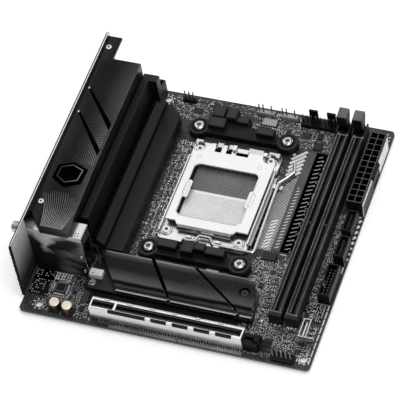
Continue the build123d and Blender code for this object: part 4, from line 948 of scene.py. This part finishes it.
cover_head = [(1.9, 0.0), (1.9, 0.35), (1.6, 0.7), (1.0, 0.85), (0.75, 0.85, 0.2), (0.7, 0.3, 0.2)]
cover_screws = Shape("screw_steel", "black_body_and_painted_shade")
for x, y, z in ((2.6, 161.0, ROOF), (3.4, 46.6, ROOF - 1.5)):
    screw(cover_screws, x, y, z, cover_head, [(0.6, 0.3), (0.6, 0.36)], 1.1, z - 3.4, 0, 4, 32, 12)
cover_screws.piece("cover_screw_pair", smooth=True,
                   replaces=["io_cover_screws"])

# ---- heatsinks
channel = Shape("vent_mesh", "black_plastic", "black_and_painted_shade")
channel.box(30.3, 47.0, 9.85, 2.6, 102.0, 0.3)
channel.row(39, (0, 2.6), 30.2, 46.8, 18.79, 2.8, 1.1, 0.04, 2)
for i in range(39):
    y = 47.35 + 2.6 * i
    channel.ridge((30.3, y, 18.82), (32.9, y, 18.82), 0.3, 0.05, 1)
channel.piece("vrm_channel")

# bright lines along the regulator cooler's edges: x, z, y from, y to, width, height
fins = Shape("anodised_black")
for x, z, y0, y1, width, height in (
        (26.15, 32.99, 46.8, 153.8, 0.5, 0.14), (29.85, 32.99, 46.8, 153.8, 0.5, 0.14),
        (38.4, 9.99, 45.4, 145.2, 0.4, 0.12), (47.7, 9.99, 45.4, 145.2, 0.4, 0.12),
        (33.25, 16.25, 45.4, 149.2, 0.5, 0.16), (37.15, 12.72, 45.4, 152.2, 0.4, 0.12)):
    fins.ridge((x, y0, z), (x, y1, z), width, height)
fins.piece("vrm_edges")

GROOVES = LEFT_GROOVE, RIGHT_GROOVE = (65.6, 81.4), (91.0, 121.8)   # x at the far and near edge
ARMOUR_TOP = 9.19
LOCK_Y = 35.2           # the drive screw's row
# streaks and groove fills of the drive heatsink: the streaks' grey is a painted reflection along the
# heatsink, the black in the grooves painted shade
streaks = Shape("machined_streaks_painted_reflection", "black_and_painted_shade")


def groove_x(y, groove):
    """X of a slanted groove of the drive heatsink."""
    return groove[0] + (groove[1] - groove[0]) * (ARMOUR_FAR - y) / (ARMOUR_FAR - ARMOUR_NEAR)


def streak(y, x0, x1, shortest=1.0):
    """Machined line along the drive heatsink, if it is long enough to show."""
    if x1 - x0 > shortest:
        streaks.ridge((x0, y, ARMOUR_TOP), (x1, y, ARMOUR_TOP), 0.5, 0.10)


for i in range(19):
    y = 27.9 + 0.86 * i
    if i < 12:
        streak(y, groove_x(y, LEFT_GROOVE) + 2.3 + 2.0 * i, groove_x(y, RIGHT_GROOVE) - 0.5)
    start, stop = groove_x(y, RIGHT_GROOVE) + 2.3, 128.4 - max(0.0, y - 36.9) * 0.9
    if abs(y - LOCK_Y) < 3.4:
        streak(y, start, 119.6, 0.0)
        streak(y, 126.6, stop, 0.8)
    else:
        streak(y, start, stop)
for groove in GROOVES:
    for near_y, far_y, top in ((24.9, 26.6, 8.62), (26.6, 44.4, 9.23)):
        far, near = groove_x(far_y, groove), groove_x(near_y, groove)
        streaks.prism([(near - 0.4, near_y), (near + 2.1, near_y), (far + 2.1, far_y),
                       (far - 0.4, far_y)], 8.4, top, 1)
# black disc: painted shade at the bottom of the drive screw's pocket
streaks.turned((123.1, LOCK_Y, 7.15), [(3.05, 0.0), (3.05, 0.1)], 1, sides=32)
streaks.piece("armour_streaks")

m2_heads = Shape("screw_steel", "black_body_and_painted_shade", "blackened_steel")
small_head = [(2.4, 0.0), (2.4, 0.55), (2.1, 0.95), (1.0, 1.0), (0.8, 1.0, 0.25), (0.75, 0.4, 0.25)]
for x, y, z, finish in ((35.8, 24.9, 3.4, 0), (123.1, LOCK_Y, 7.2, 2)):
    screw(m2_heads, x, y, z, small_head, [(0.6, 0.35), (0.6, 0.42)], 0.9, 0.4, finish, 4, 32, 12)
m2_heads.piece("armour_screws", smooth=True, replaces=["m2_screws"])

# ---- expansion slot
SHELL = 11.19           # top of the slot's steel shell
teeth = Shape("black_body_and_painted_shade", "tin_ends", "contact_shade", "bright_steel")
teeth.row(60, (1.4, 0), 46.0, 2.55, 0.0, 0.7, 0.85, 1.1, 0, taper=0.1)
teeth.row(60, (1.4, 0), 46.85, 2.5, 0.0, 0.45, 0.7, 0.3, 1)
for y in (5.62, 8.5):
    for x, count in ((44.4, 11), (58.0, 71)):   # contacts on both sides of the slot's key
        teeth.row(count, (1, 0), x, y, 10.5, 0.5, 0.55, 0.42, 2)
teeth.row(6, (13.2, 0), 50.0, 10.1, 11.15, 3.2, 1.0, 0.45, 3, taper=0.25)
teeth.piece("slot_teeth")

armour_rims = Shape("bright_steel")
for x0, x1 in [(53.8, 75.8)] + [(79.0 + 12.55 * k, 88.2 + 12.55 * k) for k in range(4)]:
    armour_rims.ridge((x0, 4.85, SHELL), (x1, 4.85, SHELL), 0.35, 0.14)
    armour_rims.box(x0 - 0.6, 4.55, 11.17, x1 - x0 + 1.2, 0.5, 0.16)
armour_rims.ridge((43.0, 10.9, SHELL), (131.0, 10.9, SHELL), 0.4, 0.14)
armour_rims.ridge((43.0, 4.0, SHELL), (53.0, 4.0, SHELL), 0.4, 0.14)
armour_rims.piece("slot_armour_rims")

# ---- memory slots
DIMM_X = (143.6, 152.8)
RAIL_TOP = 8.58
memory = Shape("slot_plastic", "contact_shade", "tin_ends", "slot_edge")
for x in DIMM_X:
    for i in range(150):
        y = 29.6 + 0.85 * i
        if 88.6 < y < 92.4 or y > 154.6:   # the slot's key and its far end
            continue
        for side in (-1, 1):
            memory.box(x + side * 0.95 - 0.14, y, 6.4, 0.28, 0.42, 1.7, 1, lean=(-side * 0.18, 0.0))
            memory.box(x + side * 2.2 - 0.25, y, 8.1, 0.5, 0.42, 0.52, 0)
    # light grey bars at the slot's ends and ridges along its rails: painted highlight on the black
    # plastic's tops
    for y in (26.9, 154.3):
        memory.box(x - 3.3, y, 8.55, 6.6, 0.6, 0.25, 3, taper=0.05)
    for place, near_y in ((-3.1, 26.4), (2.3, 26.4), (-1.35, 28.0)):
        memory.ridge((x + place, near_y, RAIL_TOP), (x + place, 155.2, RAIL_TOP), 0.6, 0.2, 3)
    for place in (-2.6, 2.6):
        memory.turned((x + place, 155.7, 8.5), [(0.42, 0.0), (0.42, 0.14), (0.2, 0.2)], 2, sides=8)
    for place in (-2.4, 0.0, 2.4):
        memory.turned((x + place, 24.2, 0.0), [(0.6, 0.0), (0.55, 0.35), (0.3, 0.5)], 2, sides=10)
memory.piece("memory_slot_rails")

for letter, x in zip("ab", DIMM_X):
    grip = Shape("latch_grip_plastic")
    cx, slope = x - 0.6, 0.0833
    low_y, low_z, high_y, high_z = 156.9, 21.03, 163.9, 21.62
    grip.quads([(cx + side * 2.8, y, z - drop) for drop in (0.05, 0.0)
                for side, y, z in ((-1, low_y, low_z), (1, low_y, low_z), (1, high_y, high_z),
                                   (-1, high_y, high_z))], BOX_FACES)
    for i in range(5):
        y = 157.8 + 1.25 * i
        z = 20.98 + (y - 156.8) * slope
        grip.ridge((cx - 2.5, y, z), (cx + 2.5, y, z), 0.7, 0.28)
    grip.loop(corners(cx - 2.2, 157.3, cx + 2.2, 163.6), 0.35, 20.6, 21.28)
    grip.piece(f"latch_grip_{letter}", f"dimm_latch_{letter}")

# ---- connectors
CELL = 4.2              # pitch of the power connectors' cells
POWER = ((160.7, 106.7, 2, 12), (14.1, 158.7, 4, 2))   # low corner, cells across and along
RIM = 12.9


def cells(x0, y0, across, along):
    """Centres of a power connector's cells."""
    return [(x0 + CELL * (column + 0.5), y0 + CELL * (row + 0.5))
            for column in range(across) for row in range(along)]


# light grey grid over the power connectors' cell walls: painted highlight on their tops; black lining
# in each cell: painted shade
rims = Shape("slot_edge", "white_plastic", "black_and_painted_shade")
for x0, y0, across, along in POWER:
    for x, y in cells(x0, y0, across, along):
        rims.loop(corners(x - 1.9, y - 1.9, x + 1.9, y + 1.9), -0.32, RIM, 12.99, 2)
    for column in range(across + 1):
        rims.box(x0 + CELL * column - 0.12, y0 - 0.1, RIM, 0.24, CELL * along, 0.12)
    for row in range(along + 1):
        rims.box(x0 - 0.1, y0 + CELL * row - 0.12, RIM, CELL * across, 0.24, 0.12)
# pale panels low on the outer side of the board's power connector: painted highlight on its side face
for y, length in ((106.6, 18.6), (138.6, 17.8)):
    rims.box(169.62, y, 0.3, 0.3, length, 10.6, 1)
rims.piece("power_cell_rims")

tongues = Shape("tin_ends", "contact_gold", "black_plastic")
for x, y in ((162.2, 88.9), (163.0, 70.9)):
    tongues.row(7, (0, 1.27), x + 3.36, y + 3.0, 2.6, 0.12, 0.7, 5.2, 1)
    tongues.loop(corners(x + 1.15, y + 1.15, x + 4.85, y + 13.55), 0.3, 8.9, 9.2, 2)
tongues.row(8, (0, 1.05), 162.52, 17.2, 1.6, 0.1, 0.5, 4.4, 1)
tongues.loop(corners(163.2, 44.6, 168.0, 64.4), 0.35, 8.9, 9.2, 2)
tongues.loop(corners(160.45, 15.55, 163.75, 26.85), 0.3, 7.9, 8.15, 0)
tongues.piece("header_tongues")

# legs and printed frames of the audio chip and of two flat chips
lead_ends = Shape("tin_ends", "grey_ink", "chip_body", "grey_plastic", "silk_ink")
codec_x, codec_y, codec = 15.3, 15.6, 7.0   # the audio chip's low corner and width
first, pitch = 0.43, 0.53
for off in (-1.02, codec + 0.12):
    lead_ends.row(12, (pitch, 0), codec_x + first, codec_y + off, 0.0, 0.3, 0.9, 0.45, 4)
    lead_ends.row(12, (0, pitch), codec_x + off, codec_y + first, 0.0, 0.9, 0.3, 0.45, 4)
for grow, *band_size in ((-0.9, 0.3, 1.28, 1.34, 3), (2.0, 0.4, 0.01, 0.05, 4)):
    lead_ends.loop(corners(codec_x - grow, codec_y - grow, codec_x + codec + grow,
                           codec_y + codec + grow), *band_size)
for x, y, dx, dy, z in ((122.4, 64.6, 8.0, 5.2, 1.8), (92.8, 157.2, 9.0, 5.2, 1.1)):
    lead_ends.loop(corners(x + 0.4, y + 0.4, x + dx - 0.4, y + dy - 0.4), 0.18, z - 0.02, z + 0.05, 1)
    for edge_y in (y - 0.8, y + dy - 0.05):
        lead_ends.row(5, (1.5, 0), x + 0.8, edge_y, 0.0, 0.5, 0.85, 0.3)
lead_ends.box(92.9, 157.3, 1.08, 8.8, 5.0, 0.08, 3, taper=0.1)
lead_ends.piece("chip_leads")

sleeve_profile = [(3.0, 0.0), (3.0, 0.5), (2.75, 0.9), (2.75, 1.3), (3.0, 1.6), (3.0, 5.7)]
can_profile = [(2.98, 5.3), (3.0, 5.7), (2.9, 6.05), (2.65, 6.2), (2.5, 6.2), (2.42, 6.12)]
cans = Shape("capacitor_sleeve", "capacitor_can", "black_body_and_painted_shade")
for x, y in ((20.7, 5.6), (28.4, 5.0)):
    cans.prism([(x - 3.2, y - 3.2), (x + 2.2, y - 3.2), (x + 3.2, y - 2.2), (x + 3.2, y + 2.2),
                (x + 2.2, y + 3.2), (x - 3.2, y + 3.2)], 0.0, 0.7, 2, taper=0.1)
    cans.turned((x, y, 0.6), sleeve_profile, 0, sides=40)
    cans.turned((x, y, 0.6), can_profile, 1, sides=40)
    for i in range(3):
        t = 0.3 + math.tau * i / 3
        cans.ridge((x, y, 6.72), (x + 1.9 * math.cos(t), y + 1.9 * math.sin(t), 6.72), 0.25, 0.08, 1)
cans.piece("audio_cans", smooth=True, replaces=["capacitors"])


# ---- battery
def wire(name, routes, radius, finish, replaces):
    """Round wires along NURBS routes in board millimetres."""
    curve = bpy.data.curves.new(name, "CURVE")
    curve.dimensions = "3D"
    curve.bevel_depth = radius * MM
    curve.bevel_resolution = 3
    curve.use_fill_caps = True
    for route in routes:
        spline = curve.splines.new("NURBS")
        spline.points.add(len(route) - 1)
        for point, place in zip(spline.points, route):
            point.co = (*P(*place), 1.0)
        spline.order_u = 3
        spline.use_endpoint_u = True
    curve.materials.append(MAT[finish])
    obj = add_object(name, curve)
    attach(obj, "board")
    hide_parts(*replaces)


lead_route = [(37.0, 32.6, 5.0), (37.0, 37.0, 5.0), (34.4, 42.0, 8.6), (33.2, 43.4, 13.0),
              (28.15, 43.4, 13.0)]
wire("battery_wires", [[(x + s, y, z + 0.2 * s) for x, y, z in lead_route] for s in (-0.38, 0.38)],
     0.38, "lead_sheath", replaces=["battery_lead"])

plug = Shape("white_plastic", "tin_ends")
plug.loop(corners(33.5, 28.3, 40.5, 32.3), 0.3, 6.4, 6.85)
for i in range(3):
    plug.ridge((34.4 + 2.2 * i, 28.2, 6.6), (34.4 + 2.2 * i, 32.4, 6.6), 0.5, 0.25)
for x in (34.6, 37.6):
    plug.box(x, 28.6, 6.55, 1.4, 1.2, 0.12, 1)
    plug.box(x + 0.3, 29.0, 0.0, 0.6, 3.0, 3.5, 1)
plug.piece("battery_plug_detail", bevel=0.06)

cell_wrap = Shape("lead_sheath", "cell_steel")
cell_wrap.turned((18.0, 41.55, 13.0), [(9.4, -0.02), (10.3, 0.0), (10.45, 0.3), (10.45, 3.5),
                                       (10.2, 3.75), (8.2, 3.78)], 0, sides=56, axis="Y")
cell_wrap.turned((18.0, 45.2, 13.0), [(7.6, 0.05), (7.6, 0.22), (7.3, 0.3)], 1, sides=56, axis="Y")
cell_wrap.piece("cell_wrap", smooth=True)

# ---- shield and ports
foam = Shape("foam_strip")
for _ in range(220):
    y, z = rng.uniform(12.0, 170.0), rng.uniform(40.9, 43.5)
    if rng.random() < 0.45:
        y, z = rng.uniform(11.2, 13.6), rng.uniform(-1.0, 43.5)
    foam.turned((-1.58, y, z), [(rng.uniform(0.25, 0.7), 0.0), (0.2, -0.12)], 0, sides=6, axis="X")
for i in range(44):
    foam.box(-1.75 - rng.uniform(0.0, 0.25), 10.6 - rng.uniform(0.0, 0.3), -1.3 + 1.02 * i, 1.6, 0.6,
             1.0, taper=0.1)
foam.piece("gasket_specks")

rear = Shape("shield_steel", "contact_gold", "black_plastic", "screw_steel")


def pressed_lip(y0, z0, width, tall, rim=0.6, deep=0.25):
    """Pressed lip round an opening of the shield."""
    for y, z, dy, dz in ((y0 - rim, z0 - rim, width + 2 * rim, rim),
                         (y0 - rim, z0 + tall, width + 2 * rim, rim),
                         (y0 - rim, z0, rim, tall), (y0 + width, z0, rim, tall)):
        rear.box(-1.0 - deep, y, z, deep, dy, dz)


for y, width, tall in ((45.6, 13.4, 33.0), (61.6, 16.4, 29.6), (80.6, 13.8, 15.6),
                       (97.0, 13.8, 15.6), (113.6, 9.4, 4.2), (126.0, 18.6, 17.0)):
    pressed_lip(y - 0.2, 0.5, width + 0.4, tall + 0.4)
# contacts in the ports
for y in (80.6, 97.0, 62.9):
    for z in ((1.2, 8.8) if y > 70 else (1.0, 8.6)):
        rear.row(4, (0, 2.2), 0.3, y + 2.9, z + 3.05, 4.0, 1.0, 0.12, 1)
rear.row(8, (0, 1.05), 1.0, 65.2, 25.4, 6.0, 0.5, 0.3, 1)
# rings of the three sound jacks, then thread and nut of the two antenna jacks
for z in (6.0, 16.4, 26.8):
    rear.turned((-2.6, 52.3, z), [(3.9, 0.0), (3.6, -0.15), (2.2, -0.15), (1.9, 0.1)], 2, 36, axis="X")
for z in (11.0, 29.5):
    for k in range(9):
        rear.turned((-9.9 + 0.75 * k, 34.2, z), [(3.1, 0.0), (3.28, 0.18), (3.28, 0.36), (3.1, 0.55)],
                    3, axis="X")
    rear.turned((-2.5, 34.2, z), [(4.4, -0.5), (4.6, -0.3), (4.6, 0.0), (4.4, 0.1)], 3, 6, axis="X")
rear.piece("rear_port_detail")

# thin skins on the radio bracket's face and the shield's inner face, carrying their painted reflections
skins = Shape("sheet_painted_reflection", "shield_inner_painted_reflection")
skins.box(-0.25, 30.33, 0.2, 32.3, 0.06, 34.75, 0)
skins.box(-0.31, 11.5, 0.2, 0.06, 18.8, 43.6, 1)
skins.piece("sheet_faces")

# dark discs: painted shade of the vent holes in the shield
vents = Shape("black_body_and_painted_shade")
for i in range(22):
    for k in range(3):
        z = 34.5 + 2.2 * k + (0 if i % 2 else 1.0)
        vents.turned((-1.0, 66.0 + 2.6 * i, z), [(0.8, 0.0), (0.75, -0.02)], sides=6, axis="X")
vents.piece("shield_vents")

radio = Shape("bright_steel", "black_body_and_painted_shade", "screw_steel")
for i in range(5):
    for k in range(2):
        radio.turned((23.6 + 1.5 * i, 32.2 + 1.6 * k, 35.0), [(0.42, 0.0), (0.42, 0.02)], 1, sides=10)
radio.ridge((0.2, 30.62, 34.98), (31.9, 30.62, 34.98), 0.6, 0.28)
radio.ridge((31.9, 30.6, 34.98), (31.9, 41.0, 34.98), 0.45, 0.2)
radio.box(32.18, 30.6, 27.2, 0.06, 10.4, 7.7)
for z in (5.0, 18.0):
    radio.turned((30.0, 30.4, z), [(1.3, 0.0), (1.2, -0.3), (0.7, -0.35), (0.6, -0.1)], 2, 16, axis="Y")
radio.piece("radio_bracket_detail")

# ---- underside
under = Shape("tin_ends", "ceramic", "black_body_and_painted_shade", "blackened_steel")


def joint(x, y, radius=0.55, height=0.9):
    """Solder cone on the underside."""
    under.turned((x, y, -THICK), [(radius * 0.25, -height), (radius * 0.5, -height * 0.6),
                                  (radius, 0.01)], 0, sides=8)


for connector in POWER:
    for x, y in cells(*connector):
        joint(x, y, 0.9)
for i in range(45):
    for k, x in enumerate((141.2, 145.9, 150.4, 155.1)):
        joint(x, 30.0 + 2.75 * i + 0.8 * (k % 2), 0.38, 0.7)
for i in range(42):
    for y in (5.2, 9.4):
        joint(45.0 + 2.0 * i, y, 0.38, 0.7)
for y0, rows in ((82.0, 9), (98.6, 9), (63.6, 10), (127.4, 12)):
    for i in range(rows):
        joint(11.0 + 2.4 * (i % 2), y0 + 1.3 * i, 0.5)
for y in (47.6, 50.2, 54.4, 57.2):
    for x in (5.0, 10.0):
        joint(x, y, 0.6)
for x in (88.9, 91.5, 96.5, 103.2, 105.8, 110.8, 116.5, 119.1, 121.6, 124.1, 127.3, 129.9, 132.4,
          134.9):
    joint(x, 165.2, 0.6)
for i in range(9):
    for x in (164.6, 166.6):
        joint(x, 46.3 + 2.0 * i, 0.5)
# scattered parts and solder dots outside the backplate
for _ in range(420):
    x, y = rng.uniform(4, 166), rng.uniform(4, 166)
    if abs(x - SOCKET_X) < 38 and abs(y - SOCKET_Y) < 55:
        continue
    if BOARD.ray_cast(P(x, y, -3.0), UP, 2.0 * MM)[0] is None:
        continue
    if rng.random() < 0.45:
        dx, dy = rng.choice(((1.0, 0.5), (0.5, 1.0), (1.6, 0.8)))
        under.box(x, y, -2.0, dx, dy, 0.42, rng.choice((1, 2)))
        for end in (x - 0.14, x + dx - 0.1):
            under.box(end, y, -2.02, 0.24, dy, 0.44, 0)
    else:
        under.turned((x, y, -THICK), [(0.28, -0.04), (0.3, 0.0)], 0, sides=8)
# pressed ribs of the backplate
for x in (SOCKET_X - 24, SOCKET_X + 24):
    under.ridge((x, SOCKET_Y - 36, -3.68), (x, SOCKET_Y + 36, -3.68), 2.2, 0.02, 3)
under.piece("underside_detail")


# ---- floor and lights
def stage_floor():
    """Plain pale floor just under the part."""
    mesh = bpy.data.meshes.new("floor")
    half, level = 1.8, CAD_BOX[0].z - 0.0002
    mesh.from_pydata([(x, y, level) for x, y in corners(-half, -half, half, half)], [],
                     [(0, 1, 2, 3)])
    plain("floor_paper", 0.93, 0.9, specular=0.0, grain=300, tint=0.01, bump=0.02, glow=0.35)
    mesh.materials.append(MAT["floor_paper"])
    add_object("floor", mesh)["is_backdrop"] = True


def aim(place, target):
    """Rotation that points a light at the target."""
    return (Vector(target) - Vector(place)).to_track_quat("-Z", "Y").to_euler()


def softbox(name, place, target, size, watts):
    light = bpy.data.lights.new(name, "AREA")
    light.shape = "RECTANGLE"
    light.size, light.size_y = size
    light.energy = watts
    obj = add_object(name, light)
    obj.location = place
    obj.rotation_euler = aim(place, target)


stage_floor()
softbox("key", (-0.47, 0.97, 1.25), (-0.01, 0.09, 0), (1.5, 1.5), 8.5)
softbox("top", (0.45, -0.15, 1.45), (0, 0.08, 0), (0.9, 0.9), 11.0)
softbox("far", (0.9, 1.1, 0.5), (0, 0.08, 0), (0.8, 0.5), 2.0)
world = bpy.data.worlds.new("studio")
world.use_nodes = True
world.node_tree.nodes["Background"].inputs["Color"].default_value = (1, 1, 1, 1)
world.node_tree.nodes["Background"].inputs["Strength"].default_value = 0.25
bpy.context.scene.world = world
bpy.context.scene.view_settings.view_transform = "Standard"

# ---- camera
EYE = Vector((0.40011, -0.70618, 1.13165))
TARGET = Vector((-0.01243, 0.09037, 0.0016))
ROLL = math.radians(-11.08)
back = (EYE - TARGET).normalized()
level_right = UP.cross(back).normalized()
level_up = back.cross(level_right)
right = level_right * math.cos(ROLL) + level_up * math.sin(ROLL)
up = level_up * math.cos(ROLL) - level_right * math.sin(ROLL)
camera_data = bpy.data.cameras.new("camera")
camera_data.sensor_width = 36.0
camera_data.lens = 227.53
camera_data.clip_end = 20.0
camera = add_object("camera", camera_data)
camera.matrix_world = Matrix((right, up, back)).transposed().to_4x4()
camera.matrix_world.translation = EYE
bpy.context.scene.camera = camera

sizes = {"cad": [list(corner) for corner in CAD_BOX],
         "visual": [list(corner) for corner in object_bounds()]}
